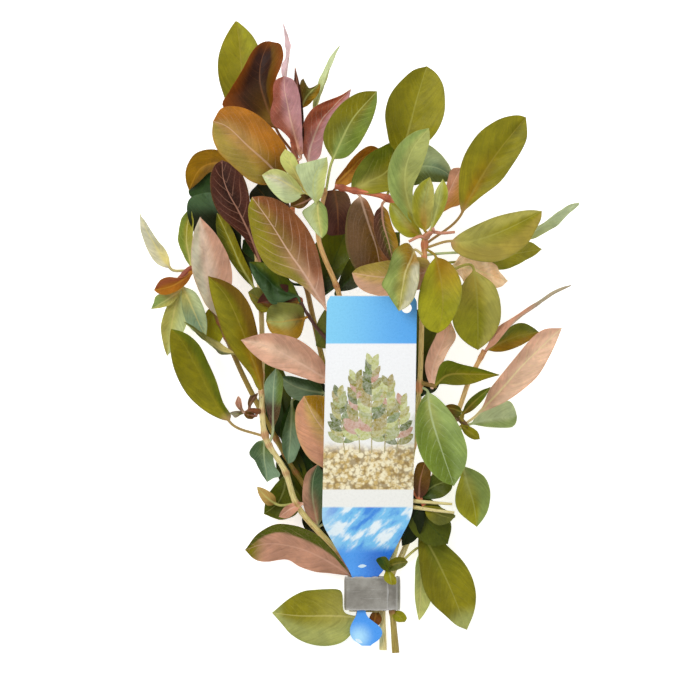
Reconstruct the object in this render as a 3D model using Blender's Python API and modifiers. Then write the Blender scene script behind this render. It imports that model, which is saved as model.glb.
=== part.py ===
"""A cut bunch of Ludwigia repens, lying down, held by a lead strip that also holds a plant label.

Metres, +Z up. The bunch lies on z = 0 with its cut ends towards -Y and its tips towards +Y.
The tables below are in millimetres.
"""

import math

import bmesh
import bpy
import numpy as np
from mathutils import Vector

MM = 0.001

# Sheet and wall thicknesses, with the gap that neighbours keep
LEAF_THICK = 0.7
LABEL_THICK = 0.7
STRIP_WALL = 0.9
GAP = 0.3

# Petiole and blade
PETIOLE_HALF = 0.7
TIP_HALF = 0.3
BLADE_STATIONS = 7
SMALL_BLADE_STATIONS = 5
FOOT_CLEARANCE = 0.3

# Stems
STEM_RADIUS = 1.15
TWIG_RADIUS = 0.8
STEM_TAPER = 0.25
STEM_STEP = 12.0
TWIG_STEP = 7.0
WELD = 0.01

# Lead strip: a flattened band round all the stems
STRIP_CENTRE = (4.9, -96.4)
STRIP_SIZE = (22.0, 13.0, 9.0)
STRIP_ARC_STEPS = 6

# Plant label: the left and right edge at each distance along it
LABEL_EDGES = (
    (15.9, -10.4, 19.8),
    (15.3, -11.5, 20.9),
    (14.0, -12.2, 21.5),
    (-25.0, -13.1, 21.0),
    (-64.0, -14.0, 20.2),
    (-67.0, -14.1, 19.6),
    (-70.0, -13.8, 18.4),
    (-73.0, -12.3, 16.8),
    (-80.0, -8.3, 13.2),
    (-84.0, -5.9, 11.1),
    (-88.0, -3.6, 9.0),
    (-91.0, -2.5, 6.0),
    (-93.0, -1.8, 3.9),
    (-98.0, -0.9, 2.5),
    (-104.5, -0.9, 2.4),
    (-106.5, -2.2, 4.4),
    (-108.5, -3.3, 7.6),
    (-111.0, -3.7, 9.0),
    (-113.5, -2.9, 8.0),
    (-115.0, -1.1, 6.1),
    (-116.1, 1.4, 3.7),
)
LABEL_NECK_Z = 7.2
LABEL_BEND_Y = (-91.0, -84.0)
LABEL_SLOPE = math.radians(18.5)
LABEL_HOLE = (17.6, 11.4, 1.9)
HOLE_SIDES = 12
HOLE_DEPTH = 10.0

# Stem routes, from the cut end to the growing tip
STEMS = {
    "stem_left": (
        (-2.4, -103.4, 2.5), (-2.4, -96.0, 2.5), (-2.8, -89.0, 2.8), (-8.0, -81.0, 4.8),
        (-22.7, -64.3, 11.0), (-28.0, -50.0, 16.0), (-35.4, -36.9, 19.0), (-36.8, -20.0, 20.0),
        (-36.6, -2.0, 18.0), (-37.5, 18.0, 15.0), (-40.0, 40.0, 13.5), (-46.0, 66.0, 12.0),
    ),
    "stem_far_left": (
        (0.5, -106.0, 4.6), (0.5, -96.0, 5.0), (-0.6, -89.0, 5.4), (-5.0, -80.0, 4.4),
        (-14.0, -66.0, 4.6), (-28.0, -44.0, 6.5), (-42.0, -18.0, 8.0), (-51.0, 2.0, 9.5),
        (-61.5, 25.0, 12.0),
    ),
    "stem_centre": (
        (3.4, -103.6, 2.5), (3.4, -96.0, 2.5), (3.0, -82.0, 5.4), (1.0, -60.0, 10.0),
        (-4.0, -30.0, 18.0), (-7.0, 0.0, 24.0), (-7.6, 16.3, 27.0), (-15.4, 37.7, 33.0),
        (-13.0, 55.0, 37.0),
    ),
    "stem_top_left": (
        (6.3, -103.6, 5.0), (6.3, -96.0, 5.0), (6.2, -84.0, 3.0), (3.5, -72.0, 2.6),
        (-0.5, -58.0, 3.8), (-11.0, -20.0, 8.5), (-19.0, 15.0, 13.0), (-25.0, 45.0, 20.0),
        (-23.5, 62.0, 25.0), (-25.0, 74.0, 27.0),
    ),
    "stem_middle_right": (
        (9.0, -118.0, 2.5), (9.2, -96.0, 2.5), (14.0, -78.0, 6.0), (19.0, -50.0, 13.0),
        (22.5, -20.0, 22.0), (23.5, 10.0, 30.0), (24.5, 38.0, 36.0),
    ),
    "stem_right": (
        (13.8, -119.0, 5.4), (12.1, -96.0, 5.0), (12.6, -89.0, 4.9), (17.0, -80.0, 3.6),
        (27.0, -55.0, 9.0), (37.0, -28.0, 18.0), (41.4, -15.6, 23.0), (47.0, -4.5, 26.0),
    ),
    "branch_salmon": (
        (20.6, 40.2, 35.0), (16.5, 47.0, 34.6), (10.0, 52.8, 34.5), (-3.0, 55.6, 35.5),
        (-9.2, 57.0, 36.5),
    ),
}


def leaf(
    foot, tip, width, petiole=0.12, arch=0.0, sweep=0.0, roll=0.0, fold=0.0, belly=1.0, lean=0.5,
    full=0.85, tuck=None, rows=None,
):
    """One leaf in plain numbers: foot on its stem in plan, tip in space, and how the blade lies."""
    return {
        "foot": foot, "tip": tip, "width": width, "petiole": petiole, "arch": arch, "sweep": sweep,
        "roll": roll, "fold": fold, "belly": belly, "lean": lean, "full": full, "tuck": tuck,
        "rows": rows,
    }


# Leaves, each on its stem
LEAVES = {
    "stem_left": {
        "leaf_top_olive": leaf((-46, 65), (-46.6, 120.4, 0.5), 15, petiole=0.3, sweep=-1.0, arch=2),
        "leaf_left_amber": leaf((-45, 62), (-64.4, 56.5, 5), 12, petiole=0.2, full=0.6, sweep=4),
        "leaf_maroon_behind": leaf((-38, 28), (-51, 66, 21), 15, petiole=0.06, arch=2, sweep=-3),
        "leaf_dark_green_upper": leaf((-41, 46), (-62, 62, 0.5), 14, petiole=0.1),
        "leaf_dark_green_lower": leaf((-38, 23), (-56, 54, 10.5), 13, petiole=0.1),
        "leaf_olive_long": leaf((-36.8, -20), (-56.8, 23.4, 30), 14.5, petiole=0.05, arch=1, sweep=-2),
        "leaf_dark_edge_on": leaf((-36.8, -14), (-65.4, 5.8, 17), 9, petiole=0.1, roll=70),
        "leaf_left_big_olive": leaf((-35.4, -37), (-70.3, 3.2, 18), 16.5, petiole=0.17, sweep=-4),
        "leaf_dark_olive_low": leaf((-28, -51), (-35.8, -65.8, 6), 11, petiole=0.1, arch=-2),
        "leaf_folded_pink_low": leaf(
            (-8, -81), (-42.9, -79.3, 6), 17, petiole=0.1, arch=2, sweep=2.5, belly=0.9
        ),
    },
    "stem_far_left": {
        "leaf_pink_upright": leaf((-50, 1), (-59.8, 45.6, 22), 15, petiole=0.05, sweep=-1),
        "leaf_lower_left_flat": leaf(
            (0.5, -104.7), (-32.4, -103.2, 0.5), 21, petiole=0.08, belly=0.8, lean=0.44, full=0.7,
            tuck=(-7.6, -104.0), rows=8
        ),
        "leaf_back_left": leaf((-28, -44), (-35.0, -3, 0.5), 12),
    },
    "stem_centre": {
        "leaf_pink_brown_big": leaf((-7.5, 9), (-40.3, 53.1, 34), 20, petiole=0.12, arch=2, sweep=-1),
        "leaf_pink_level": leaf((-6, -17), (-44.4, -0.6, 36), 14.5, petiole=0.1, arch=2),
        "leaf_tan_pink_low": leaf((-2, -48), (-20.4, -21.6, 22), 14, petiole=0.15),
        "leaf_dark_green_low": leaf((0.5, -58), (-20.4, -38, 9), 11, petiole=0.2),
        "leaf_green_top": leaf((-13, 55), (6.2, 92.4, 43), 16, petiole=0.28, arch=1, sweep=-3),
    },
    "stem_top_left": {
        "leaf_orange_broad": leaf(
            (-24, 57), (-54.4, 81.5, 35), 21, petiole=0.1, arch=2, belly=1.1, full=0.6
        ),
        "leaf_rust_folded": leaf(
            (-24, 69), (-33.9, 112.7, 20), 21, petiole=0.2, fold=12, sweep=-6, lean=0.36
        ),
        "leaf_pink_top": leaf((-23.5, 67), (-28.3, 98.4, 35), 10.5, petiole=0.3),
        "leaf_dusty_pink_folded": leaf((-23.5, 64), (-3.6, 93.6, 30), 13, petiole=0.1, roll=35),
        "leaf_grey_edge_on": leaf((-24, 71), (-7.7, 109.7, 18), 10, petiole=0.2, roll=82, sweep=-1),
        "leaf_back_lower": leaf((-3, -50), (-19, -14, 0.5), 15),
        "leaf_back_middle": leaf((-9, -27), (6, 12, 0.5), 15),
    },
    "stem_middle_right": {
        "leaf_right_big_olive": leaf(
            (24.5, 35.6), (62.1, 83, 38), 18.5, petiole=0.18, sweep=-1, belly=1.1, full=0.75
        ),
        "leaf_right_green_olive": leaf((24.5, 34), (68.1, 47.8, 34), 14, petiole=0.2, sweep=3.5),
        "leaf_right_narrow": leaf((24.3, 31), (82.7, 50.8, 24), 11, petiole=0.3, roll=68),
        "leaf_right_dark_green": leaf((24, 27.5), (68.1, 33.6, 3), 11, petiole=0.2),
        "leaf_crumpled_pink": leaf((24, 24), (56, 22.5, 18), 12, petiole=0.2, sweep=-2),
        "leaf_oval_olive": leaf(
            (24.6, 33.7), (30.5, 2.4, 42), 16.5, petiole=0.13, arch=4, sweep=-3, full=0.75
        ),
        "leaf_round_olive": leaf((23.9, 20), (44.6, -3.9, 24), 19, petiole=0.1, sweep=-7, full=0.65),
        "leaf_tan_pink_behind": leaf((24.2, 29), (-2.8, 24.9, 37), 12, petiole=0.1),
        "leaf_front_folded": leaf((24.5, 31.2), (14.8, 10.7, 46), 13, petiole=0.1, arch=4, sweep=3.5),
        "leaf_pale_upright": leaf((24.5, 36), (26.1, 78.9, 46), 11.5, petiole=0.12, sweep=-6, arch=2),
        "leaf_right_green_big": leaf((22.5, -18), (35.8, -54.9, 28), 18, petiole=0.08, arch=4),
        "leaf_lower_right_big": leaf((14.5, -76), (40.3, -108.9, 0.5), 18.5, petiole=0.12, sweep=-3.5),
        "leaf_back_right": leaf((20.5, -40), (14.5, 0, 0.5), 13),
    },
    "stem_right": {
        "leaf_pink_edge_on": leaf((47, -4.5), (79.3, 20, 28), 10, petiole=0.1, roll=72),
        "leaf_olive_behind_right": leaf((46, -7), (66.9, 2.4, 8), 10, petiole=0.1),
        "leaf_pink_big_right": leaf((34.6, -35), (75.6, 3.9, 25), 15, petiole=0.16),
        "leaf_grey_green_right": leaf((34, -37), (58.3, -30.6, 0.5), 10, petiole=0.12),
        "leaf_green_olive_low": leaf((30, -46), (44.1, -70.3, 5), 14.5, petiole=0.15, sweep=-1),
        "leaf_pale_narrow_low": leaf((14.4, -85), (22.7, -105.6, 0.5), 6, petiole=0.1, sweep=-2),
    },
    "branch_salmon": {
        "leaf_olive_top_right": leaf((10, 52.8), (25.3, 102.2, 32), 22, petiole=0.34, full=0.75),
        "leaf_green_centre": leaf((-2.5, 55.6), (16, 74.5, 30), 17, petiole=0.05, full=0.7),
        "leaf_grey_green_behind": leaf((14, 50), (34.9, 60.5, 26), 13, petiole=0.1, sweep=-7),
        "leaf_brown_green_long": leaf((-1, 55.2), (8.5, 26, 31), 14, petiole=0.05, sweep=1.5),
    },
}

# Side shoots: a short twig with its young leaves, grown into one piece with the stem that it is on
SHOOTS = {
    "shoot_upper_left": {
        "stem": "stem_top_left",
        "twig": ((-25.4, 76.5, 27.6), (-26.0, 84.0, 27.5), (-27.5, 92.0, 27.0)),
        "leaves": (
            leaf((-27.5, 92), (-28.7, 118, 28), 6, roll=60, sweep=2),
            leaf((-25.7, 80), (-17.4, 97.7, 25), 5),
            leaf((-25.7, 78), (-24.2, 101.8, 31), 5, roll=40),
        ),
    },
    "young_on_left_stem": {
        "stem": "stem_left",
        "twig": None,
        "leaves": (
            leaf((-33.5, -39.5), (-31.5, -11.8, 22), 7, roll=20),
            leaf((-36, -36), (-35.7, -53.6, 12), 10, petiole=0.05, sweep=3),
            leaf((-24, -62), (-30, -72, 11), 7),
            leaf((-37, 12), (-51, 43, 14.5), 8, sweep=-1),
        ),
    },
    "young_on_far_left_stem": {
        "stem": "stem_far_left",
        "twig": None,
        "leaves": (
            leaf((-24, -50), (-24, -22, 8), 12),
            leaf((-12, -69), (-18.6, -51, 12), 8),
            leaf((-19, -58), (-16, -35, 5), 12),
            leaf((-53, 6), (-57.5, -4, 7), 8, petiole=0.05),
        ),
    },
    "young_on_salmon_branch": {
        "stem": "branch_salmon",
        "twig": None,
        "leaves": (
            leaf((-6, 56.2), (3.9, 72.2, 26), 11),
            leaf((-7, 56.3), (-5.4, 39.5, 31), 9),
            leaf((11, 52.3), (9.6, 29.4, 41), 9),
        ),
    },
    "rosette_centre": {
        "stem": "stem_centre",
        "twig": ((-14.0, 56.0, 39.2), (-15.5, 54.5, 42.0), (-16.0, 54.0, 44.5)),
        "leaves": (
            leaf((-15.5, 54.5), (-36.2, 61.3, 45), 10),
            leaf((-16, 54), (-22.7, 66.9, 49), 9, petiole=0.05),
            leaf((-15.5, 54.5), (-28.3, 69.9, 42.5), 5),
            leaf((-15.5, 54.5), (-26, 50, 42), 5),
            leaf((-16, 54), (-15.6, 37.7, 44), 9, petiole=0.05),
        ),
    },
    "rosette_right": {
        "stem": "stem_middle_right",
        "twig": ((25.4, 38.5, 38.2), (27.0, 40.0, 41.0), (27.5, 41.0, 44.0)),
        "leaves": (
            leaf((26, 40), (26.4, 60.2, 49), 7, arch=1),
            leaf((26.5, 41), (31.3, 59.4, 46), 7),
            leaf((25, 38.5), (35.8, 63.9, 26), 8),
            leaf((25, 38.5), (11.4, 51.9, 38), 7),
        ),
    },
    "shoot_far_left": {
        "stem": "stem_far_left",
        "twig": ((-62.3, 27.0, 12.6), (-65.0, 25.5, 13.4), (-68.0, 22.5, 14.0)),
        "leaves": (
            leaf((-65, 25.5), (-82.7, 46.3, 9), 6.5, petiole=0.25),
            leaf((-66, 25), (-76.7, 18.2, 17), 7.5),
            leaf((-68, 22.5), (-77.4, 11, 10), 6),
            leaf((-68, 22.5), (-72.2, -6.2, 0.5), 10),
            leaf((-66, 24), (-60.6, 1.3, 13), 9),
            leaf((-63.5, 26), (-64.7, 48.9, 12), 9, roll=55),
        ),
    },
    "shoot_middle_left": {
        "stem": "stem_centre",
        "twig": ((-10.0, -2.0, 21.0), (-16.0, 4.0, 21.5), (-22.3, 13.5, 23.0)),
        "leaves": (
            leaf((-22.3, 13.5), (-40.3, 27.6, 24), 11),
            leaf((-21.5, 12), (-38.1, 17.5, 21), 8),
            leaf((-19, 9), (-33.6, 0.2, 24), 9),
            leaf((-24, 14), (-42.0, 17.5, 20), 7.9, petiole=0.4, rows=3),
        ),
    },
    "shoot_behind_label": {
        "stem": "stem_centre",
        "twig": ((-7.5, -27.5, 14.0), (-12.0, -25.0, 13.0), (-17.0, -23.5, 12.5)),
        "leaves": (
            leaf((-15, -24), (-29, -16.3, 13), 7),
            leaf((-17, -23.5), (-26, -46.7, 12), 7),
        ),
    },
    "shoot_right_upper": {
        "stem": "stem_middle_right",
        "twig": ((24.6, -17.0, 23.6), (27.0, -17.5, 24.0), (29.0, -18.0, 24.0)),
        "leaves": (
            leaf((27, -17.5), (34.7, 6.2, 22.5), 7),
            leaf((29, -18), (52.7, -13.7, 28), 9),
        ),
    },
    "shoot_right_lower": {
        "stem": "stem_right",
        "twig": ((37.8, -30.5, 19.5), (39.5, -32.0, 21.0), (41.0, -33.5, 21.5)),
        "leaves": (
            leaf((39.5, -32), (48.9, -18.6, 26), 5),
            leaf((41, -33.5), (46.5, -38.0, 20), 5, petiole=0.05),
            leaf((39, -30.5), (31.9, -25.8, 17), 4.6, petiole=0.33, rows=3),
        ),
    },
    "shoot_low_right": {
        "stem": "stem_middle_right",
        "twig": ((20.2, -58.0, 12.5), (22.5, -60.0, 13.5), (24.5, -63.0, 14.0)),
        "leaves": (
            leaf((22.5, -60), (32.1, -51, 16), 8),
            leaf((22.5, -60), (23.8, -47.8, 17), 5),
            leaf((24.5, -63), (33.9, -70.9, 14), 8),
            leaf((24.5, -63), (20, -76, 7), 9),
            leaf((17.5, -60), (33.4, -77.5, 11.5), 14.4, petiole=0.05, rows=4),
        ),
    },
    "young_on_centre_stem": {
        "stem": "stem_centre",
        "twig": None,
        "leaves": (
            leaf((-9, 20), (-4.7, 42.4, 18), 14.3, petiole=0.27, lean=0.35, rows=4),
            leaf((-7.6, 14), (15.3, 40.1, 20), 12.2, petiole=0.11, rows=4),
            leaf((-7.2, 8), (-16.4, -2.8, 16), 9, petiole=0.06, rows=3),
        ),
    },
    "young_on_top_left_stem": {
        "stem": "stem_top_left",
        "twig": None,
        "leaves": (
            leaf((-20, 20), (-44.0, 37.2, 8), 9.2, petiole=0.21, lean=0.39, rows=4),
            leaf((-24, 40), (-39.0, 57.5, 12), 11.1, petiole=0.15, rows=4),
            leaf((6.3, -102.8), (5.2, -109.4, 5.8), 4.7, petiole=0.1, rows=3),
        ),
    },
    "young_low_on_far_left_stem": {
        "stem": "stem_far_left",
        "twig": None,
        "leaves": (
            leaf((-5, -80), (-20.2, -65.7, 1.6), 10.3, petiole=0.2, lean=0.55, rows=4),
            leaf((-28, -44), (-22.1, -63.4, 3), 10.7, petiole=0.06, rows=4),
            leaf((-31.5, -38), (-34.6, -16.8, 4.5), 9.3, petiole=0.05, rows=4),
        ),
    },
    "young_beside_label": {
        "stem": "stem_middle_right",
        "twig": None,
        "leaves": (
            leaf((22.8, -19), (24.3, 13.0, 15), 12.5, petiole=0.08, lean=0.58, rows=4),
        ),
    },
    "young_at_cut_end": {
        "stem": "stem_right",
        "twig": None,
        "leaves": (
            leaf((13.2, -103.2), (17.3, -107.2, 6.4), 4.3, petiole=0.05, rows=3),
        ),
    },
    "dried_sprout": {
        "stem": "stem_left",
        "twig": ((-38.2, -27.4, 20.6), (-40.6, -27.2, 21.2), (-43.0, -28.2, 21.4)),
        "leaves": (
            leaf((-42, -27.8), (-45.7, -22.0, 23), 3.7, petiole=0.26, rows=3),
            leaf((-40.6, -27.2), (-38.5, -20.5, 22), 3.0, petiole=0.17, rows=3),
            leaf((-43, -28.2), (-48.3, -28.0, 20), 3.6, petiole=0.13, rows=3),
        ),
    },
    "branch_of_rosette_right": {
        "stem": "stem_middle_right",
        "twig": ((26.6, 37.5, 38.5), (31.0, 39.2, 41.0), (35.6, 39.8, 40.0)),
        "leaves": (),
    },
    "branch_of_rosette_left": {
        "stem": "stem_middle_right",
        "twig": ((22.3, 36.0, 37.5), (18.4, 36.2, 42.0)),
        "leaves": (),
    },
    "root_upper": {
        "stem": "stem_middle_right",
        "twig": ((19.5, -61.2, 13.0), (26.0, -61.7, 16.5), (35.0, -62.4, 17.5)),
        "leaves": (),
    },
    "root_lower": {
        "stem": "stem_middle_right",
        "twig": ((20.5, -63.6, 13.0), (27.0, -64.6, 16.5), (35.8, -65.6, 17.5)),
        "leaves": (),
    },
    "sprout_at_strip": {
        "stem": None,
        "twig": ((10.6, -89.0, 10.2), (10.8, -87.0, 12.0), (10.8, -85.0, 13.0)),
        "leaves": (
            leaf((10.8, -86), (18.0, -83.5, 14), 5),
            leaf((10.8, -85), (6.4, -83, 15), 4),
            leaf((10.8, -87), (12.6, -91.5, 12.5), 4),
        ),
    },
}


def smooth_path(points, step):
    """Points about one step apart on a Catmull-Rom curve through the route's own points."""
    p = [Vector(q) for q in points]
    p = [2 * p[0] - p[1], *p, 2 * p[-1] - p[-2]]
    path = []
    for i in range(1, len(p) - 2):
        count = max(1, round((p[i + 1] - p[i]).length / step))
        for k in range(count):
            t = k / count
            path.append(0.5 * (
                2 * p[i] + (p[i + 1] - p[i - 1]) * t
                + (2 * p[i - 1] - 5 * p[i] + 4 * p[i + 1] - p[i + 2]) * t ** 2
                + (3 * p[i] - p[i - 1] - 3 * p[i + 1] + p[i + 2]) * t ** 3
            ))
    return path + [p[-2]]


def nearest_on(path, foot):
    """The point of a path nearest in plan to a foot, and the path's direction there."""
    best = None
    for a, b in zip(path, path[1:]):
        run = (b - a).to_2d()
        t = (Vector(foot) - a.to_2d()).dot(run) / max(run.length_squared, 1e-9)
        point = a.lerp(b, min(1.0, max(0.0, t)))
        apart = (point.to_2d() - Vector(foot)).length
        if best is None or apart < best[0]:
            best = (apart, point, (b - a).normalized())
    return best[1], best[2]


def foot_of(spec, path, clear):
    """Where the petiole starts: beside the stem, on the side that the leaf grows to."""
    point, along = nearest_on(path, spec["foot"])
    out = Vector(spec["tip"]) - point
    out -= along * out.dot(along)
    return point + out.normalized() * clear


def blade_half(spec, u, side):
    """Half the width at u, from 0 at the foot to 1 at the tip, on the right (1) or left (-1) side."""
    start = spec["petiole"]
    if u <= start:
        return PETIOLE_HALF
    t = (u - start) / (1 - start)
    share = spec["lean"] if side > 0 else 1 - spec["lean"]
    swell = math.sin(math.pi * min(t, 1.0) ** spec["belly"]) ** spec["full"] if t < 1 else 0.0
    least = PETIOLE_HALF + (TIP_HALF - PETIOLE_HALF) * t
    return max(least, spec["width"] * share * swell)


def leaf_point(spec, foot, u, v):
    """The middle of the leaf's thickness at u along it and v across it."""
    tip = Vector(spec["tip"])
    axis = (tip - foot).normalized()
    right = axis.cross(Vector((0, 0, 1))).normalized()
    up = right.cross(axis)
    turn = math.radians(spec["roll"])
    across = right * math.cos(turn) + up * math.sin(turn)
    face = up * math.cos(turn) - right * math.sin(turn)
    bow = 4 * u * (1 - u)
    midrib = foot.lerp(tip, u) + up * spec["arch"] * bow + right * spec["sweep"] * bow
    half = blade_half(spec, u, v)
    lift = math.tan(math.radians(spec["fold"])) * abs(v) * half
    point = midrib + across * v * half + face * lift
    if spec["tuck"] and point.x > spec["tuck"][0]:
        point.y = min(point.y, spec["tuck"][1])
    return point


def stations(spec, count):
    """Distances along a leaf: the foot, the end of the petiole, and even steps to the tip."""
    start = spec["petiole"]
    return [0.0] + [start + (1 - start) * k / count for k in range(count + 1)]


def coloured(obj, name, colour, roughness, metallic=0.0):
    material = bpy.data.materials.new(name)
    material.use_nodes = True
    shader = material.node_tree.nodes["Principled BSDF"]
    shader.inputs["Base Color"].default_value = (*colour, 1.0)
    shader.inputs["Roughness"].default_value = roughness
    shader.inputs["Metallic"].default_value = metallic
    material.diffuse_color = (*colour, 1.0)
    obj.data.materials.append(material)


def leaf_sheet(name, spec, foot, count):
    """A blade as a grid laid on the leaf's formula, given its thickness by Solidify."""
    across = 2 if spec["fold"] or spec["tuck"] else 1
    bm = bmesh.new()
    rows = stations(spec, spec["rows"] or count)
    bmesh.ops.create_grid(bm, x_segments=len(rows) - 1, y_segments=across, size=1.0)
    for vertex in bm.verts:
        row = round((vertex.co.x + 1) / 2 * (len(rows) - 1))
        vertex.co = leaf_point(spec, foot, rows[row], vertex.co.y) * MM
    mesh = bpy.data.meshes.new(name)
    bm.to_mesh(mesh)
    bm.free()
    obj = bpy.data.objects.new(name, mesh)
    thick = obj.modifiers.new("thickness", "SOLIDIFY")
    thick.thickness = LEAF_THICK * MM
    thick.offset = 0.0
    return obj


def round_stem(name, path, radius, sides):
    """A stem as a POLY curve with a round bevel, slightly thinner towards its tip."""
    curve = bpy.data.curves.new(name, "CURVE")
    curve.dimensions = "3D"
    curve.bevel_depth = radius * MM
    curve.bevel_resolution = sides
    curve.use_fill_caps = True
    spline = curve.splines.new("POLY")
    spline.points.add(len(path) - 1)
    for k, (point, place) in enumerate(zip(spline.points, path)):
        point.co = (*(place * MM), 1.0)
        point.radius = 1.0 - STEM_TAPER * k / (len(path) - 1)
    return bpy.data.objects.new(name, curve)


def as_mesh(obj, collection):
    """The curve turned into a mesh object with its caps welded."""
    collection.objects.link(obj)
    bpy.context.view_layer.update()
    graph = bpy.context.evaluated_depsgraph_get()
    mesh = bpy.data.meshes.new_from_object(obj.evaluated_get(graph))
    bm = bmesh.new()
    bm.from_mesh(mesh)
    bmesh.ops.remove_doubles(bm, verts=bm.verts, dist=WELD * MM)
    bm.to_mesh(mesh)
    bm.free()
    name = obj.name
    place = obj.matrix_world.copy()
    bpy.data.objects.remove(obj)
    made = bpy.data.objects.new(name, mesh)
    made.matrix_world = place
    return made


def stem_paths():
    return {name: smooth_path(route, STEM_STEP) for name, route in STEMS.items()}


def helper(obj, cutters):
    """Links an object that is only joined to or cut from another."""
    obj.hide_render = True
    obj.display_type = "WIRE"
    cutters.objects.link(obj)


def grown_on(node, piece, cutters):
    """Joins a twig or a young leaf to the piece that it grows from."""
    helper(piece, cutters)
    join = node.modifiers.new(piece.name, "BOOLEAN")
    join.operation = "UNION"
    join.object = piece


def make_stems(parts, cutters, paths):
    nodes = {}
    for name, path in paths.items():
        nodes[name] = as_mesh(round_stem(name, path, STEM_RADIUS, 1), parts)
        coloured(nodes[name], name, (0.45, 0.33, 0.14), 0.5)
        parts.objects.link(nodes[name])
    for name, shoot in SHOOTS.items():
        node = nodes.get(shoot["stem"])
        path = paths.get(shoot["stem"])
        if shoot["twig"]:
            route = list(shoot["twig"])
            if node:
                route.insert(0, nearest_on(path, route[0][:2])[0])
            path = smooth_path(route, TWIG_STEP)
            twig = as_mesh(round_stem(name, path, TWIG_RADIUS, 0), parts)
            if node:
                grown_on(node, twig, cutters)
            else:
                node = twig
                coloured(node, name, (0.22, 0.24, 0.08), 0.45)
                parts.objects.link(node)
        for k, spec in enumerate(shoot["leaves"], 1):
            foot, _ = nearest_on(path, spec["foot"])
            blade = leaf_sheet(f"{name}_leaf_{k}", spec, foot, SMALL_BLADE_STATIONS)
            grown_on(node, blade, cutters)


def make_leaves(parts, paths):
    clear = STEM_RADIUS + GAP + LEAF_THICK / 2 + FOOT_CLEARANCE
    for stem, group in LEAVES.items():
        for name, spec in group.items():
            foot = foot_of(spec, paths[stem], clear)
            blade = leaf_sheet(name, spec, foot, BLADE_STATIONS)
            coloured(blade, name, (0.18, 0.20, 0.05), 0.45)
            parts.objects.link(blade)


def make_strip(parts):
    """A flat band: an outer and an inner outline with round ends, extruded along the bunch."""
    width, length, height = STRIP_SIZE
    curve = bpy.data.curves.new("lead_strip", "CURVE")
    curve.dimensions = "2D"
    curve.fill_mode = "BOTH"
    curve.extrude = length / 2 * MM
    for inset in (0.0, STRIP_WALL):
        radius = height / 2 - inset
        straight = (width - height) / 2
        spline = curve.splines.new("POLY")
        turns = [
            (side * straight + radius * math.cos(angle), radius * math.sin(angle))
            for side, first in ((1, -90), (-1, 90))
            for angle in (math.radians(first + 180 * k / STRIP_ARC_STEPS) for k in range(STRIP_ARC_STEPS + 1))
        ]
        spline.points.add(len(turns) - 1)
        for point, (x, z) in zip(spline.points, turns):
            point.co = (x * MM, z * MM, 0.0, 1.0)
        spline.use_cyclic_u = True
    strip = bpy.data.objects.new("lead_strip", curve)
    strip.location = (STRIP_CENTRE[0] * MM, STRIP_CENTRE[1] * MM, height / 2 * MM)
    strip.rotation_euler = (math.radians(90), 0, 0)
    coloured(strip, "lead_strip", (0.38, 0.36, 0.34), 0.45, 0.8)
    parts.objects.link(strip)


def label_height(y):
    """The card lies flat in the strip, then rises in a straight slope over the bunch."""
    low, high = LABEL_BEND_Y
    slope = math.tan(LABEL_SLOPE)
    if y <= low:
        return LABEL_NECK_Z
    if y <= high:
        return LABEL_NECK_Z + slope * (y - low) ** 2 / (2 * (high - low))
    return LABEL_NECK_Z + slope * (y - (low + high) / 2)


def make_label(parts, cutters):
    last = len(LABEL_EDGES) - 1
    bm = bmesh.new()
    bmesh.ops.create_grid(bm, x_segments=last, y_segments=1, size=1.0)
    for vertex in bm.verts:
        y, left, right = LABEL_EDGES[round((1 - vertex.co.x) / 2 * last)]
        x = right if vertex.co.y > 0 else left
        vertex.co = Vector((x, y, label_height(y))) * MM
    mesh = bpy.data.meshes.new("plant_label")
    bm.to_mesh(mesh)
    bm.free()
    label = bpy.data.objects.new("plant_label", mesh)
    thick = label.modifiers.new("thickness", "SOLIDIFY")
    thick.thickness = LABEL_THICK * MM
    thick.offset = 0.0
    x, y, radius = LABEL_HOLE
    drill_mesh = bpy.data.meshes.new("label_hole")
    bm = bmesh.new()
    bmesh.ops.create_cone(
        bm, cap_ends=True, segments=HOLE_SIDES, radius1=radius * MM, radius2=radius * MM,
        depth=HOLE_DEPTH * MM,
    )
    bm.to_mesh(drill_mesh)
    bm.free()
    drill = bpy.data.objects.new("label_hole", drill_mesh)
    drill.location = (x * MM, y * MM, label_height(y) * MM)
    helper(drill, cutters)
    cut = label.modifiers.new("hole", "BOOLEAN")
    cut.operation = "DIFFERENCE"
    cut.object = drill
    coloured(label, "plant_label", (0.30, 0.62, 0.90), 0.35)
    parts.objects.link(label)


def main():
    for obj in list(bpy.data.objects):
        bpy.data.objects.remove(obj)
    parts = bpy.data.collections.new("ludwigia_bunch")
    cutters = bpy.data.collections.new("cutters")
    bpy.context.scene.collection.children.link(parts)
    bpy.context.scene.collection.children.link(cutters)
    paths = stem_paths()
    make_stems(parts, cutters, paths)
    make_leaves(parts, paths)
    make_strip(parts)
    make_label(parts, cutters)


main()
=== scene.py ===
import math
import random

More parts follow.
